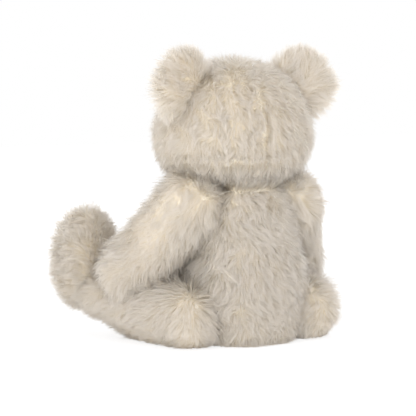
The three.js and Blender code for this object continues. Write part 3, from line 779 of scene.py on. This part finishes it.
def strip_mesh(name: str, points: Array, shade: Array) -> bpy.types.Mesh:
    """Joins the strands' points to tapered strips.

    Args:
        name: the mesh's name.
        points: strands by their points by 3.
        shade: where each strand lies on the U axis.

    Returns:
        The mesh, with U across and V along each strand.
    """
    count, each = points.shape[:2]
    loops, starts, where = strip_corners()
    corner = (np.arange(count)[:, None] * each + loops).ravel()
    start = (np.arange(count)[:, None] * len(loops) + starts).ravel()
    mesh = bpy.data.meshes.new(name)
    mesh.vertices.add(count * each)
    mesh.vertices.foreach_set("co", points.ravel())
    mesh.loops.add(len(corner))
    mesh.loops.foreach_set("vertex_index", corner.astype(np.int32))
    mesh.polygons.add(len(start))
    mesh.polygons.foreach_set("loop_start", start.astype(np.int32))
    mesh.polygons.foreach_set("use_smooth", np.ones(len(start), dtype=bool))
    u = shade[:, None] + where[:, 0] * STRIP_U
    v = np.broadcast_to(where[:, 1] / SEGMENTS, u.shape)
    mesh.uv_layers.new(name="OFBake").data.foreach_set("uv", np.stack([u, v], axis=2).ravel())
    mesh.update(calc_edges=True)
    return mesh


def pile_object(
    name: str, paths: Array, normals: Array, pile: Pile, rng: np.random.Generator
) -> bpy.types.Object:
    """Adds tapered strips along the paths, as one object that is shaded nearly as its skin is.

    Args:
        name: its name.
        paths: the strands.
        normals: the skin's normal at each foot.
        pile: the settings.
        rng: seeded source of roll, crimp, width and shade.

    Returns:
        The object.
    """
    count = len(paths)
    span = unit(paths[:, -1] - paths[:, 0])
    flat = unit(np.cross(span, normals))
    roll = rng.uniform(-ROLL, ROLL, count)[:, None]
    side = flat * np.cos(roll) + np.cross(span, flat) * np.sin(roll)
    wave = np.sin(rng.uniform(0, 2 * np.pi, (count, 1)) + STEPS[None, :] * WAVE_STEP)
    paths = paths + side[:, None, :] * (wave * pile.wave * STEPS / SEGMENTS)[:, :, None]
    share = STEPS[:-1] / SEGMENTS
    taper = TAPER[0] + TAPER[1] * share + TAPER[2] * share**2
    half = pile.width / 2 * taper * rng.uniform(*THICKNESS_SPREAD, (count, 1))
    offset = side[:, None, :] * half[:, :, None]
    pairs = np.stack([paths[:, :-1] - offset, paths[:, :-1] + offset], axis=2)
    pairs = pairs.reshape(count, 2 * SEGMENTS, 3)
    points = np.concatenate([pairs, paths[:, -1:, :]], axis=1)
    shade = rng.random(count) * (1 - 4 * STRIP_U) + STRIP_U
    mesh = strip_mesh(name, points, shade)
    shading = unit(unit(np.cross(side, span)) * (1 - pile.softness) + normals * pile.softness)
    mesh.normals_split_custom_set_from_vertices(np.repeat(shading, points.shape[1], axis=0).tolist())
    obj = bpy.data.objects.new(name, mesh)
    bpy.context.scene.collection.objects.link(obj)
    return obj


# Sub-assemblies


def middle_of(node: str) -> Array:
    """The middle of a node's box."""
    low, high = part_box(node)
    return (np.array(low, float) + np.array(high, float)) / 2


@dataclass
class Part:
    """A sub-assembly that rides on one body of the frame."""

    palette: Palette
    body: str = ""
    panels: tuple[str, ...] = ()
    pile: Pile = Pile()
    cover_fill: float = 0.8  # how firm the padding is
    stuffing_fill: float = 0.8
    skin_cell: float = 2.2 * MM
    skin_rounds: int = 6
    plug_radius: float = 6 * MM
    plug_thickness: float = 3 * MM
    plug_depths: Span = (-1.6 * MM, 2.0 * MM)  # outwards from the joint, in the torso and in what it carries
    lump_cell: float = 4 * MM
    lump_rounds: int = 3
    lump_size: float = 18 * MM
    lump_depth: float = 0.9 * MM
    lump_waves: int = 5
    pressed_height: float = 3 * MM  # under which the floor presses the pile
    pressed_facing: float = -0.8  # Z of the normals there
    pressed_share: float = 0.15
    skin: Surface = field(init=False)
    parts: dict[str, Surface] = field(init=False)

    def place(
        self, obj: bpy.types.Object, material: bpy.types.Material, slot: Slot, nodes: Iterable[str] = ()
    ) -> bpy.types.Object:
        """Gives a piece its finish, lets it ride on the body and stand for its nodes.

        Args:
            obj: the piece.
            material: its finish.
            slot: not used.
            nodes: the nodes of the frame that it replaces.

        Returns:
            The piece.
        """
        obj.data.materials.clear()
        obj.data.materials.append(material)
        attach(obj, self.body)
        if nodes:
            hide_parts(*nodes)
        log.info("%s on %s, %d faces", obj.name, self.body, len(obj.data.polygons))
        return obj

    def mould(self, nodes: Iterable[str], material: bpy.types.Material) -> None:
        """Gives hard nodes of the frame their finish.

        Args:
            nodes: their names.
            material: the finish.
        """
        for name in nodes:
            mesh = frame["nodes"][name].data
            mesh.materials.clear()
            mesh.materials.append(material)
            for polygon in mesh.polygons:
                polygon.use_smooth = False
            log.info("%s on %s, the frame's own %d faces", name, self.body, len(mesh.polygons))

    def plugs(self) -> list[Surface]:
        """Makes the discs that close the stem holes of this body's joints.

        Returns:
            A disc for each joint.
        """
        inner, outer = self.plug_depths
        found = []
        for joint in frame["record"]["behaviour"]["joints"]:
            if self.body not in (joint["parent"], joint["child"]):
                continue
            point = np.array(joint["pos_m"], float)
            axis = unit(np.array(joint["axis"], float))
            out = axis * np.sign((middle_of(f"{joint['child']}_stuffing") - point) @ axis)
            depth = outer if self.body == joint["child"] else inner
            found.append(plug(point + out * depth, out, self.plug_radius, self.plug_thickness))
        return found

    def wrap(self, fillings: Sequence[str]) -> Surface:
        """Draws the smooth skin round the panels and what fills them, with stem holes closed.

        Args:
            fillings: the nodes inside the panels.

        Returns:
            The skin.
        """
        solids = [node_surface(name) for name in (*self.panels, *fillings)]
        return wrapped(joined(solids + self.plugs()), self.skin_cell, self.skin_rounds)

    def cover(self) -> None:
        """Shares the skin out to the nearest panels and adds each panel's backing as a piece."""
        centres = self.skin.points[self.skin.triangles].mean(axis=1)
        trees = [node_surface(name).tree() for name in self.panels]
        distance = np.array([[tree.find_nearest(c)[3] for c in centres] for tree in trees])
        owner = distance.argmin(axis=0)
        self.parts = {name: self.skin.part(owner == k) for k, name in enumerate(self.panels)}
        for name, surface in self.parts.items():
            obj = mesh_object(f"{name}_backing", surface)
            self.place(obj, self.palette.backing, Slot.PILE, [name])

    def stuff(self, node: str) -> None:
        """Adds the fibre stuffing as a lumpy piece.

        Args:
            node: the stuffing's node in the frame.
        """
        surface = wrapped(node_surface(node), self.lump_cell, self.lump_rounds)
        rng = np.random.default_rng(len(node))
        waves = unit(rng.normal(size=(self.lump_waves, 3))) * 2 * np.pi / self.lump_size
        phase = rng.uniform(0, 6, self.lump_waves)
        lumps = np.sin(surface.points @ waves.T + phase).mean(axis=1, keepdims=True)
        surface.points = surface.points - surface.normals() * (self.lump_depth * (1 + lumps))
        obj = self.place(mesh_object(f"{node}_fibre", surface), self.palette.fibre, Slot.FILL, [node])

    def flow(self, points: Array, normals: Array) -> Array:
        """The direction of the pile, which each part gives."""
        raise NotImplementedError

    def length(self, points: Array, normals: Array) -> Array:
        """What multiplies the pile's length, which each part gives."""
        raise NotImplementedError

    def pressed(self, points: Array, normals: Array) -> Array:
        """What is left of the pile's length where the bear sits on it."""
        under = (normals[:, 2] < self.pressed_facing) & (points[:, 2] < self.pressed_height)
        return np.where(under, self.pressed_share, 1.0)

    def grow(self, name: str, area: Surface, pile: Pile, seams: Sequence[Seam], share: Share | None) -> None:
        """Grows the pile of one panel.

        Args:
            name: the new piece's name.
            area: the skin that it grows from.
            pile: its settings.
            seams: where it parts.
            share: thins it out.
        """
        rng = np.random.default_rng(pile.seed)
        feet, normals = sampled(area, pile.density, share, rng)

        def parted(points: Array, out: Array) -> Array:
            """Turns the flow away from the seams.

            Args:
                points: the feet.
                out: the skin's normals there.

            Returns:
                The directions.
            """
            direction = unit(self.flow(points, out))
            for seam in seams:
                away, weight = seam.away(points)
                direction = direction * (1 - weight) + away * weight
            return direction

        lengths = pile.length * np.exp(rng.normal(0, pile.length_spread, len(feet)).clip(*LENGTH_CLIP))
        lengths = lengths * self.length(feet, normals)
        paths = grown(feet, normals, parted, lengths, pile, rng)
        paths = tufted(paths, parted, area, lengths, pile, rng)
        paths = lifted(paths, self.skin.tree())
        self.place(pile_object(name, paths, normals, pile, rng), self.palette.pile, Slot.PILE)

    def grow_all(self, seams: Sequence[Seam] = (), share: Share | None = None) -> None:
        """Grows the pile of every panel, each from a seed of its own.

        Args:
            seams: where it parts.
            share: thins it out.
        """
        for index, (name, area) in enumerate(self.parts.items()):
            self.grow(f"{name}_pile", area, replace(self.pile, seed=self.pile.seed + index), seams, share)


@dataclass
class Torso(Part):
    """Back, belly and seat, with the pellet bag low inside."""

    body: str = "torso"
    panels: tuple[str, ...] = (
        "torso_seat_panel",
        "torso_back_left",
        "torso_back_right",
        "torso_belly_left",
        "torso_belly_right",
    )
    pile: Pile = Pile(
        length=11.5 * MM,
        density=2.1,
        foot_angle=70,
        tip_angle=26,
        swirl=70,
        swirl_size=11 * MM,
        tuft_spacing=3.6 * MM,
        tuft_pull=0.3,
        softness=0.85,
        seed=11,
    )
    cover_fill: float = 0.75
    bag_fill: float = 0.7
    seat_seam: Seam = Seam((0, 0, 0.033), (0, 0, 1), reach=5 * MM, strength=0.15)
    whorl: Place = (0.026, 0.031, 0.027)  # low on the back, where the pile stands out all ways
    whorl_reach: float = 32 * MM
    whorl_core: float = 0.25  # of the reach, where the whorl is whole
    whorl_pull: Span = (0.4, 0.8)  # what it takes off the flow down, and how much stands out
    turn_up: Span = (0.128, 0.15)  # heights between which the pile turns up to the neck
    turn_up_share: float = 1.8
    collar: Span = (0.125, 0.15)  # heights between which it gets longer
    collar_share: float = 0.45
    side_span: Span = (0.5, 0.9)  # how far the skin faces sideways
    side_start: Span = (0.03, 0.045)
    side_shares: Span = (0.5, 0.5)  # of more length at the sides, and under the arms on top
    under_arm_height: float = 0.07
    under_arm_reach: Span = (0.02, 0.01)  # half height, and what of it fades out

    def build(self) -> None:
        """Makes the skin, the covers, the stuffing and the pellet bag."""
        self.skin = self.wrap(["torso_stuffing", "pellet_bag"])
        self.cover()
        self.stuff("torso_stuffing")
        bag = smoothed(node_surface("pellet_bag"), 1)
        obj = self.place(mesh_object("pellet_bag_cotton", bag), self.palette.cotton, Slot.BAG, ["pellet_bag"])

    def flow(self, points: Array, normals: Array) -> Array:
        """Leads the pile down the body, out all ways round the whorl, and up to the neck.

        Args:
            points: the feet.
            normals: not used.

        Returns:
            The directions.
        """
        away = points - np.array(self.whorl)
        core = self.whorl_core * self.whorl_reach
        near = 1 - rise(np.linalg.norm(away, axis=1), core, self.whorl_reach)[:, None]
        upward = self.turn_up_share * rise(points[:, 2], *self.turn_up)[:, None]
        held, standing = self.whorl_pull
        return DOWN * (1 - held * near - upward) + standing * unit(away) * near

    def length(self, points: Array, normals: Array) -> Array:
        """Presses the pile flat under the seat and leaves it fuller round the neck and under the arms.

        Args:
            points: the feet.
            normals: the skin's normals there.

        Returns:
            What multiplies the length.
        """
        height = points[:, 2]
        reach, fade = self.under_arm_reach
        under_arm = rise(reach - np.abs(height - self.under_arm_height), 0, fade)
        side = rise(np.abs(normals[:, 0]), *self.side_span)
        everywhere, more = self.side_shares
        side = side * (everywhere * rise(height, *self.side_start) + more * under_arm)
        return self.pressed(points, normals) * (1 + self.collar_share * rise(height, *self.collar) + side)

    def dress(self) -> None:
        """Grows the pile and finishes the washers of the joints."""
        self.grow_all([self.seat_seam])
        joints = ("neck", "arm_left", "arm_right", "leg_left", "leg_right")
        self.mould([f"{joint}_washer" for joint in joints], self.palette.white)


@dataclass
class Head(Part):
    """Head with its muzzle and face."""

    body: str = "head"
    panels: tuple[str, ...] = (
        "head_back_left",
        "head_back_right",
        "head_nape_left",
        "head_nape_right",
        "head_face_panel",
        "muzzle_cover",
    )
    pile: Pile = Pile(
        length=11.5 * MM,
        density=1.65,
        foot_angle=68,
        tip_angle=22,
        swirl=70,
        swirl_size=12 * MM,
        tuft_pull=0.32,
        seed=31,
    )
    cover_fill: float = 0.85
    stuffing_fill: float = 0.9
    back_seam: Seam = Seam((0, 0, 0), (1, 0, 0), (-1, 0, 0.160), (1, 1, 0.235), reach=6 * MM, strength=0.75)
    nape_seam: Seam = Seam((0, 0, 0.168), (0, 0, 1), (-0.02, -0.02, 0), (0.075, 1, 1))
    crown_lift: float = 0.008
    crown_fall: float = 0.03  # turns the flow down sooner beside the crown
    face_flow: Span = (0.045, 0.08)  # between these, ahead of the origin, it turns to run from the nose
    face_pull: float = 1.5
    face_length: Span = (0.05, 0.08)
    nose_length: Span = (0.018, 0.055)  # distances from the nose
    nose_trim: float = 0.72
    face_trim: float = 0.25
    jowl_height: float = 0.178
    jowl_fade: float = 0.016
    jowl_share: float = 0.15
    shiny: tuple[str, ...] = ("eye_left", "eye_right", "nose")
    bare_rims: tuple[float, ...] = (0.5 * MM, 0.5 * MM, 1.0 * MM)  # round each of them
    bare_share: float = 0.72  # of the half diagonal of its box, just over its own outline
    bare_fade: float = 1 * MM
    polish_cell: float = 0.35 * MM
    polish_rounds: int = 12
    crown: Array = field(init=False)
    nose: Array = field(init=False)

    def build(self) -> None:
        """Makes the skin, the covers and the stuffing."""
        self.skin = self.wrap(["head_stuffing"])
        highest = self.skin.points[self.skin.points[:, 2].argmax()]
        self.crown = highest * MID_PLANE + self.crown_lift * UP
        self.nose = middle_of("nose")
        self.cover()
        self.stuff("head_stuffing")

    def flow(self, points: Array, normals: Array) -> Array:
        """Leads the pile down from the crown, and away from the nose on the face.

        Args:
            points: the feet.
            normals: not used.

        Returns:
            The directions.
        """
        fall = points - self.crown
        fall[:, 2] -= self.crown_fall
        face = rise(-points[:, 1], *self.face_flow)[:, None]
        return unit(fall) * (1 - face) + unit(points - self.nose) * face * self.face_pull

    def length(self, points: Array, normals: Array) -> Array:
        """Leaves the pile short on the muzzle and round the eyes, and longer behind.

        Args:
            points: the feet.
            normals: not used.

        Returns:
            What multiplies the length.
        """
        near_nose = 1 - rise(distance_from(points, self.nose), *self.nose_length)
        face = rise(-points[:, 1], *self.face_length)
        jowl = self.jowl_share * rise(self.jowl_height - points[:, 2], 0, self.jowl_fade) * (1 - face)
        return 1 - self.nose_trim * near_nose - self.face_trim * face + jowl

    def clear_of_eyes(self, points: Array, normals: Array) -> Array:
        """Leaves the eyes and the nose bare.

        Args:
            points: the feet.
            normals: not used.

        Returns:
            The share of the pile that stays.
        """
        kept = np.ones(len(points))
        for node, rim in zip(self.shiny, self.bare_rims):
            low, high = (np.array(corner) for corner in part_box(node))
            radius = np.linalg.norm((high - low)[[0, 2]]) / 2 * self.bare_share + rim
            kept *= rise(distance_from(points, middle_of(node)), radius, radius + self.bare_fade)
        return kept

    def polish(self, name: str) -> None:
        """Evens out a node's facets, so that its reflection is smooth.

        Args:
            name: the node.
        """
        node = frame["nodes"][name]
        even = node.modifiers.new("even", "REMESH")
        even.mode = "VOXEL"
        even.voxel_size = self.polish_cell
        even.use_smooth_shade = True
        round_off = node.modifiers.new("round", "SMOOTH")
        round_off.factor = 0.5
        round_off.iterations = self.polish_rounds

    def dress(self) -> None:
        """Grows the pile and finishes the eyes, the nose, the mouth and the hardware."""
        self.grow_all([self.back_seam, self.nape_seam], self.clear_of_eyes)
        self.mould(self.shiny, self.palette.black)
        for name in self.shiny:
            self.polish(name)
        washers = [f"{name}_washer" for name in self.shiny]
        self.mould([*washers, "neck_joint_disc", "neck_lock_ring"], self.palette.white)
        mouth = mesh_object("mouth_thread", node_surface("mouth_stitches"))
        self.place(mouth, self.palette.thread, Slot.THREAD, ["mouth_stitches"])


@dataclass
class Ear(Part):
    """A round cupped ear."""

    body: str = "head"
    side: Side = Side.LEFT
    pile: Pile = Pile(
        length=14.7 * MM,
        length_spread=0.12,
        density=1.9,
        foot_angle=50,
        tip_angle=6,
        droop=0.12,
        tuft_spacing=4 * MM,
        seed=51,
    )
    cover_fill: float = 0.3
    skin_cell: float = 1.6 * MM
    skin_rounds: int = 5
    foot_height: float = 0.19  # of the place in the head that the ear points away from
    root_depth: float = 24 * MM  # from the ear's middle to where its pile fans out from
    rim_span: Span = (0.012, 0.024)  # distances from the ear's middle
    middle_share: float = 0.75
    rim_shares: Span = (0.25, 0.45)  # more length at the rim, and low on it on top
    spread: float = 0.3  # how far the pile spreads from the middle too
    seed_step: int = 4  # from the left side's seed to the right's
    full_below: float = 0.012  # above the middle, where the rim starts to get fuller on its way down
    full_fade: float = 0.02
    middle: Array = field(init=False)
    root: Array = field(init=False)

    def __post_init__(self) -> None:
        """Names the panels and picks the seed of this side."""
        name = f"ear_{self.side.value}"
        self.panels = (f"{name}_back", f"{name}_front")
        if self.side is Side.RIGHT:
            self.pile = replace(self.pile, seed=self.pile.seed + self.seed_step)

    def build(self) -> None:
        """Makes the skin and the covers."""
        self.skin = wrapped(joined([node_surface(n) for n in self.panels]), self.skin_cell, self.skin_rounds)
        self.cover()
        self.middle = self.skin.points.mean(axis=0)
        foot = np.array([0.0, self.middle[1], self.foot_height])
        self.root = self.middle - self.root_depth * unit(self.middle - foot)

    def flow(self, points: Array, normals: Array) -> Array:
        """Fans the pile out from the ear's root."""
        return unit(points - self.root) + self.spread * unit(points - self.middle)

    def length(self, points: Array, normals: Array) -> Array:
        """Leaves the pile longest on the rim, most of all low down.

        Args:
            points: the feet.
            normals: not used.

        Returns:
            What multiplies the length.
        """
        low = rise(self.middle[2] + self.full_below - points[:, 2], 0, self.full_fade)
        more, lower = self.rim_shares
        from_middle = rise(distance_from(points, self.middle), *self.rim_span)
        return self.middle_share + (more + lower * low) * from_middle

    def dress(self) -> None:
        """Grows the pile."""
        self.grow_all()


@dataclass
class Limb(Part):
    """An arm or a leg of one side."""

    kind: str = ""
    pad: str = ""
    side: Side = Side.LEFT
    joint_offset: float = 20 * MM  # along X from the joint to the limb's middle
    pad_reach: float = 1.4 * MM
    seed_step: int = 16  # from the right side's seed to the left's
    start: Array = field(init=False)
    end: Array = field(init=False)
    along: Array = field(init=False)
    out: Array = field(init=False)

    def __post_init__(self) -> None:
        """Names the body, the panels and the pad, and picks the seed of this side."""
        self.body = f"{self.kind}_{self.side.value}"
        self.panels = (f"{self.body}_outer", f"{self.body}_inner")
        self.pad = f"{self.pad}_{self.side.value}"
        if self.side is Side.LEFT:
            self.pile = replace(self.pile, seed=self.pile.seed + self.seed_step)

    def build(self) -> None:
        """Makes the skin, the cover's halves and the stuffing, and finds where the limb starts and ends."""
        self.skin = self.wrap([f"{self.body}_stuffing"])
        self.cover()
        self.stuff(f"{self.body}_stuffing")
        joints = {joint["child"]: joint for joint in frame["record"]["behaviour"]["joints"]}
        self.out = np.array([self.side.sign, 0.0, 0.0])
        self.start = np.array(joints[self.body]["pos_m"], float) + self.joint_offset * self.out
        self.end = middle_of(self.pad)

    def pad_clear(self, points: Array, normals: Array) -> Array:
        """Leaves the skin under the pad bare.

        Args:
            points: the feet.
            normals: not used.

        Returns:
            0 under the pad and 1 elsewhere.
        """
        tree = node_surface(self.pad).tree()
        far = 2 * self.pad_reach
        return np.array([float((tree.find_nearest(p, far)[3] or far) > self.pad_reach) for p in points])

    def dress(self) -> None:
        """Grows the pile, adds the suede pad and finishes the joint's hardware."""
        self.grow_all(share=self.pad_clear)
        pad = mesh_object(f"{self.pad}_suede", node_surface(self.pad))
        self.place(pad, self.palette.suede, Slot.SUEDE, [self.pad])
        self.mould([f"{self.body}_joint_disc", f"{self.body}_lock_ring"], self.palette.white)


@dataclass
class Arm(Limb):
    """An arm, pressed on the thigh. Reaches are distances from the shoulder along it."""

    kind: str = "arm"
    pad: str = "paw_pad"
    pile: Pile = Pile(
        length=12 * MM,
        foot_angle=52,
        tip_angle=12,
        tuft_spacing=4 * MM,
        tuft_pull=0.2,
        softness=0.88,
        seed=71,
    )
    tip_reach: Span = (0.075, 0.115)
    tip_root: float = 12 * MM  # from the paw back to where its pile fans out from
    fall: float = 0.3
    full_length: float = 0.9
    front_edge: Span = (0.2, 0.9)  # how far the skin faces there
    front_share: float = 0.6
    rear_edge: Span = (0.3, 0.9)
    rear_share: float = 0.45
    outside: Span = (0.3, 0.9)
    close_reach: Span = (0.03, 0.07)
    close_share: float = 0.55
    full_reach: Span = (0.02, 0.07)
    full_share: float = 0.2
    paw_reach: Span = (0.09, 0.115)
    paw_share: float = 0.45
    ahead: Array = field(init=False)

    def build(self) -> None:
        """Makes the arm and finds its directions."""
        super().build()
        self.along = unit(self.end - self.start)
        self.ahead = along_skin(np.array([[0.0, -1.0, 0.3]]), self.along[None, :])[0]

    def flow(self, points: Array, normals: Array) -> Array:
        """Leads the pile along the arm and round the paw.

        Args:
            points: the feet.
            normals: not used.

        Returns:
            The directions.
        """
        to_tip = rise((points - self.start) @ self.along, *self.tip_reach)[:, None]
        round_paw = unit(points - self.end + self.tip_root * self.along)
        return (self.along + self.fall * DOWN) * (1 - to_tip) + round_paw * to_tip

    def length(self, points: Array, normals: Array) -> Array:
        """Leaves the pile full on both edges and close on the outside of the shoulder.

        Args:
            points: the feet.
            normals: the skin's normals there.

        Returns:
            What multiplies the length.
        """
        reach = (points - self.start) @ self.along
        front = self.front_share * rise(normals @ self.ahead, *self.front_edge)
        rear = self.rear_share * rise(-normals @ self.ahead, *self.rear_edge)
        outside = rise(normals @ self.out, *self.outside)
        close = self.close_share * outside * (1 - rise(reach, *self.close_reach))
        full = self.full_length + self.full_share * rise(reach, *self.full_reach)
        return full - self.paw_share * rise(reach, *self.paw_reach) + (front + rear) - close


@dataclass
class Leg(Limb):
    """A leg, out along the floor with its foot up. Reaches are distances from the hip along it."""

    kind: str = "leg"
    pad: str = "sole_pad"
    pile: Pile = Pile(
        length=12.5 * MM,
        foot_angle=64,
        tip_angle=20,
        tuft_spacing=4 * MM,
        tuft_pull=0.28,
        softness=0.86,
        seed=111,
    )
    foot_reach: Span = (0.085, 0.11)
    foot_share: float = 0.1  # of more length there
    forward_reach: Span = (0.0, 0.05)
    thigh_pulls: tuple[float, ...] = (0.8, 0.6, 0.8, 1.4)  # out, down, on along the leg, and in inside
    inside_flow: Span = (-0.3, 0.4)  # how far the skin faces the other leg
    above_height: Span = (0.03, 0.06)
    instep_pulls: tuple[float, ...] = (0.3, 0.3, 1.4)  # up above, down below, and the weight of all
    foot_spread: float = 22 * MM  # how far from the middle of the foot the pile lies half sideways
    under_reach: Span = (0.055, 0.08)
    under_facing: Span = (-0.1, 0.5)
    under_shares: Span = (0.6, 0.4)  # off the length under the thigh, and what of it ends before the foot
    lap_reach: Span = (0.05, 0.08)
    lap_facing: Span = (0.3, 0.9)
    lap_share: float = 0.6
    inner_reach: Span = (0.0, 0.03)
    inner_facing: Span = (-0.3, 0.5)
    inner_share: float = 0.4
    across: Array = field(init=False)

    def build(self) -> None:
        """Makes the leg and finds its directions."""
        super().build()
        self.along = unit((self.end - self.start) * LEVEL)
        self.across = np.cross(self.along, UP)

    def flow(self, points: Array, normals: Array) -> Array:
        """Leads the pile out over the thigh, on along the leg, and up and down from the instep.

        Args:
            points: the feet.
            normals: the skin's normals there.

        Returns:
            The directions.
        """
        reach = (points - self.start) @ self.along
        on_foot = rise(reach, *self.foot_reach)[:, None]
        forward = rise(reach, *self.forward_reach)[:, None]
        inner = rise(-normals @ self.out, *self.inside_flow)[:, None] * (1 - forward)
        outwards, down, onwards, inwards = self.thigh_pulls
        thigh = outwards * self.out + down * DOWN + onwards * forward * self.along
        thigh = thigh - inwards * inner * self.out
        beside = (points - self.end) @ self.across
        above = rise(points[:, 2], *self.above_height)[:, None]
        lift, fall, weight = self.instep_pulls
        instep = lift * above * UP + (1 - above) * (self.along + fall * DOWN)
        instep = instep + self.across * beside[:, None] / self.foot_spread
        return thigh * (1 - on_foot) + instep * on_foot * weight

    def length(self, points: Array, normals: Array) -> Array:
        """Presses the pile under the leg and leaves it full on the lap and on the inside of the thigh.

        Args:
            points: the feet.
            normals: the skin's normals there.

        Returns:
            What multiplies the length.
        """
        reach = (points - self.start) @ self.along
        most, ending = self.under_shares
        under = (most - ending * rise(reach, *self.under_reach)) * rise(-normals[:, 2], *self.under_facing)
        lap = self.lap_share * rise(normals[:, 2], *self.lap_facing) * (1 - rise(reach, *self.lap_reach))
        inside = rise(-normals @ self.out, *self.inner_facing)
        inner = self.inner_share * inside * (1 - rise(reach, *self.inner_reach))
        full = 1 + self.foot_share * rise(reach, *self.foot_reach) - under + np.maximum(lap, inner)
        return self.pressed(points, normals) * full


# Studio


@dataclass(frozen=True)
class Lamp:
    """A soft box: where it stands as azimuth, elevation and distance from the bear, and what it gives."""

    name: str
    azimuth: float
    elevation: float
    distance: float
    size: float
    power: float
    colour: str = "#ffffff"


@dataclass(frozen=True)
class Studio:
    """Pale floor, soft light and the camera, at the photograph's angle."""

    azimuth: float = 150.0
    elevation: float = 5.0
    distance: float = 1.8
    lens: float = 170.8
    aim: Place = (0.0332, -0.0192, 0.1235)
    lamps: tuple[Lamp, ...] = (
        Lamp("key", 80, 8, 1.2, 1.0, 3.0),
        Lamp("front", 150, -3, 2.0, 0.4, 11.0),
        Lamp("fill", 212, 4, 1.4, 1.0, 3.5, "#fbfbff"),
        Lamp("top", 200, 78, 1.2, 1.2, 3.0),
        Lamp("back", 325, 16, 1.4, 1.0, 5.5),
        Lamp("low", 135, -4, 0.9, 0.3, 2.2),
    )
    sky_colour: str = "#fcfcff"
    sky_strength: float = 1.05
    floor_half: float = 3.0
    floor_colour: str = "#f8f7f4"
    floor_shadow: str = "#898989"  # takes the bear's shadow where the floor shows as background
    floor_white: float = 0.8
    bounces: int = 12
    soft_bounces: int = 10

    def stand(self, obj: bpy.types.Object, azimuth: float, elevation: float, distance: float) -> None:
        """Puts a camera or a lamp somewhere round the bear, turned to it.

        Args:
            obj: what is put there.
            azimuth: degrees round the bear from its front, towards its left.
            elevation: degrees above its middle.
            distance: metres from its middle.
        """
        a, e = math.radians(azimuth), math.radians(elevation)
        away = Vector((math.sin(a) * math.cos(e), -math.cos(a) * math.cos(e), math.sin(e)))
        obj.location = Vector(self.aim) + away * distance
        obj.rotation_euler = (Vector(self.aim) - obj.location).to_track_quat("-Z", "Y").to_euler()
        bpy.context.scene.collection.objects.link(obj)

    def build(self) -> None:
        """Adds the camera, the lamps, the floor and the sky."""
        scene = bpy.context.scene
        scene.view_settings.view_transform = "Standard"
        scene.cycles.max_bounces = self.bounces
        scene.cycles.diffuse_bounces = self.soft_bounces
        scene.cycles.transmission_bounces = self.soft_bounces
        camera = bpy.data.objects.new("camera", bpy.data.cameras.new("camera"))
        camera.data.lens = self.lens
        self.stand(camera, self.azimuth, self.elevation, self.distance)
        scene.camera = camera
        for lamp in self.lamps:
            light = bpy.data.objects.new(lamp.name, bpy.data.lights.new(lamp.name, "AREA"))
            light.data.size = lamp.size
            light.data.energy = lamp.power
            light.data.color = linear(lamp.colour)[:3]
            self.stand(light, lamp.azimuth, lamp.elevation, lamp.distance)
        self.sky()
        self.floor()

    @staticmethod
    def background_rays(tree: bpy.types.NodeTree) -> bpy.types.NodeSocket:
        """Picks the rays that see plain white: those of the camera, also by way of gloss or glass.

        Light that cloth lets through is a transmission ray too, but a diffuse one, and stays with the rest.

        Args:
            tree: the tree that the nodes go in.

        Returns:
            1 for such a ray and 0 for the rest, which carry the light.
        """
        ray = add_node(tree, "ShaderNodeLightPath")
        through = {0: ray.outputs["Is Transmission Ray"], 1: ray.outputs["Is Diffuse Ray"]}
        glass = add_node(tree, "ShaderNodeMath", through, operation="SUBTRACT", use_clamp=True)
        direct = {0: ray.outputs["Is Camera Ray"], 1: ray.outputs["Is Glossy Ray"]}
        gloss = add_node(tree, "ShaderNodeMath", direct, operation="MAXIMUM")
        both = {0: gloss.outputs[0], 1: glass.outputs[0]}
        return add_node(tree, "ShaderNodeMath", both, operation="MAXIMUM").outputs[0]

    def sky(self) -> None:
        """Gives soft light from all round, and plain white behind the bear."""
        world = bpy.data.worlds.new("studio")
        bpy.context.scene.world = world
        world.use_nodes = True
        tree = world.node_tree
        tree.nodes.clear()
        soft = {"Color": linear(self.sky_colour), "Strength": self.sky_strength}
        light = add_node(tree, "ShaderNodeBackground", soft)
        white = add_node(tree, "ShaderNodeBackground", {"Color": linear("#ffffff"), "Strength": 1.0})
        pick = {0: self.background_rays(tree), 1: light.outputs[0], 2: white.outputs[0]}
        both = add_node(tree, "ShaderNodeMixShader", pick)
        add_node(tree, "ShaderNodeOutputWorld", {"Surface": both.outputs[0]})

    def floor(self) -> None:
        """Adds a pale floor that the camera sees as white with a faint shadow."""
        half = self.floor_half
        points = np.array([[-half, -half, 0], [half, -half, 0], [half, half, 0], [-half, half, 0]])
        floor = mesh_object("floor", Surface(points, np.array([[0, 1, 2], [0, 2, 3]])), smooth=False)
        material, tree = new_material("Pale studio floor")
        pale = add_node(tree, "ShaderNodeBsdfDiffuse", {"Color": linear(self.floor_colour)})
        shadow = add_node(tree, "ShaderNodeBsdfDiffuse", {"Color": linear(self.floor_shadow)})
        glow = {"Color": linear("#ffffff"), "Strength": self.floor_white}
        white = add_node(tree, "ShaderNodeEmission", glow)
        seen = add_node(tree, "ShaderNodeAddShader", {0: shadow.outputs[0], 1: white.outputs[0]})
        pick = {0: self.background_rays(tree), 1: pale.outputs[0], 2: seen.outputs[0]}
        both = add_node(tree, "ShaderNodeMixShader", pick)
        add_node(tree, "ShaderNodeOutputMaterial", {"Surface": both.outputs[0]})
        floor.data.materials.append(material)


def main() -> None:
    """Builds the bear part by part, then the studio."""
    logging.basicConfig(level=logging.INFO, format="%(name)s: %(message)s", stream=sys.stdout)
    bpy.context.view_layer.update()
    palette = Palette()
    parts = [Torso(palette), Head(palette)]
    parts += [kind(palette, side=side) for kind in (Ear, Arm, Leg) for side in Side]
    for part in parts:
        part.build()
        part.dress()
    Studio().build()


if __name__ == "__main__":
    main()
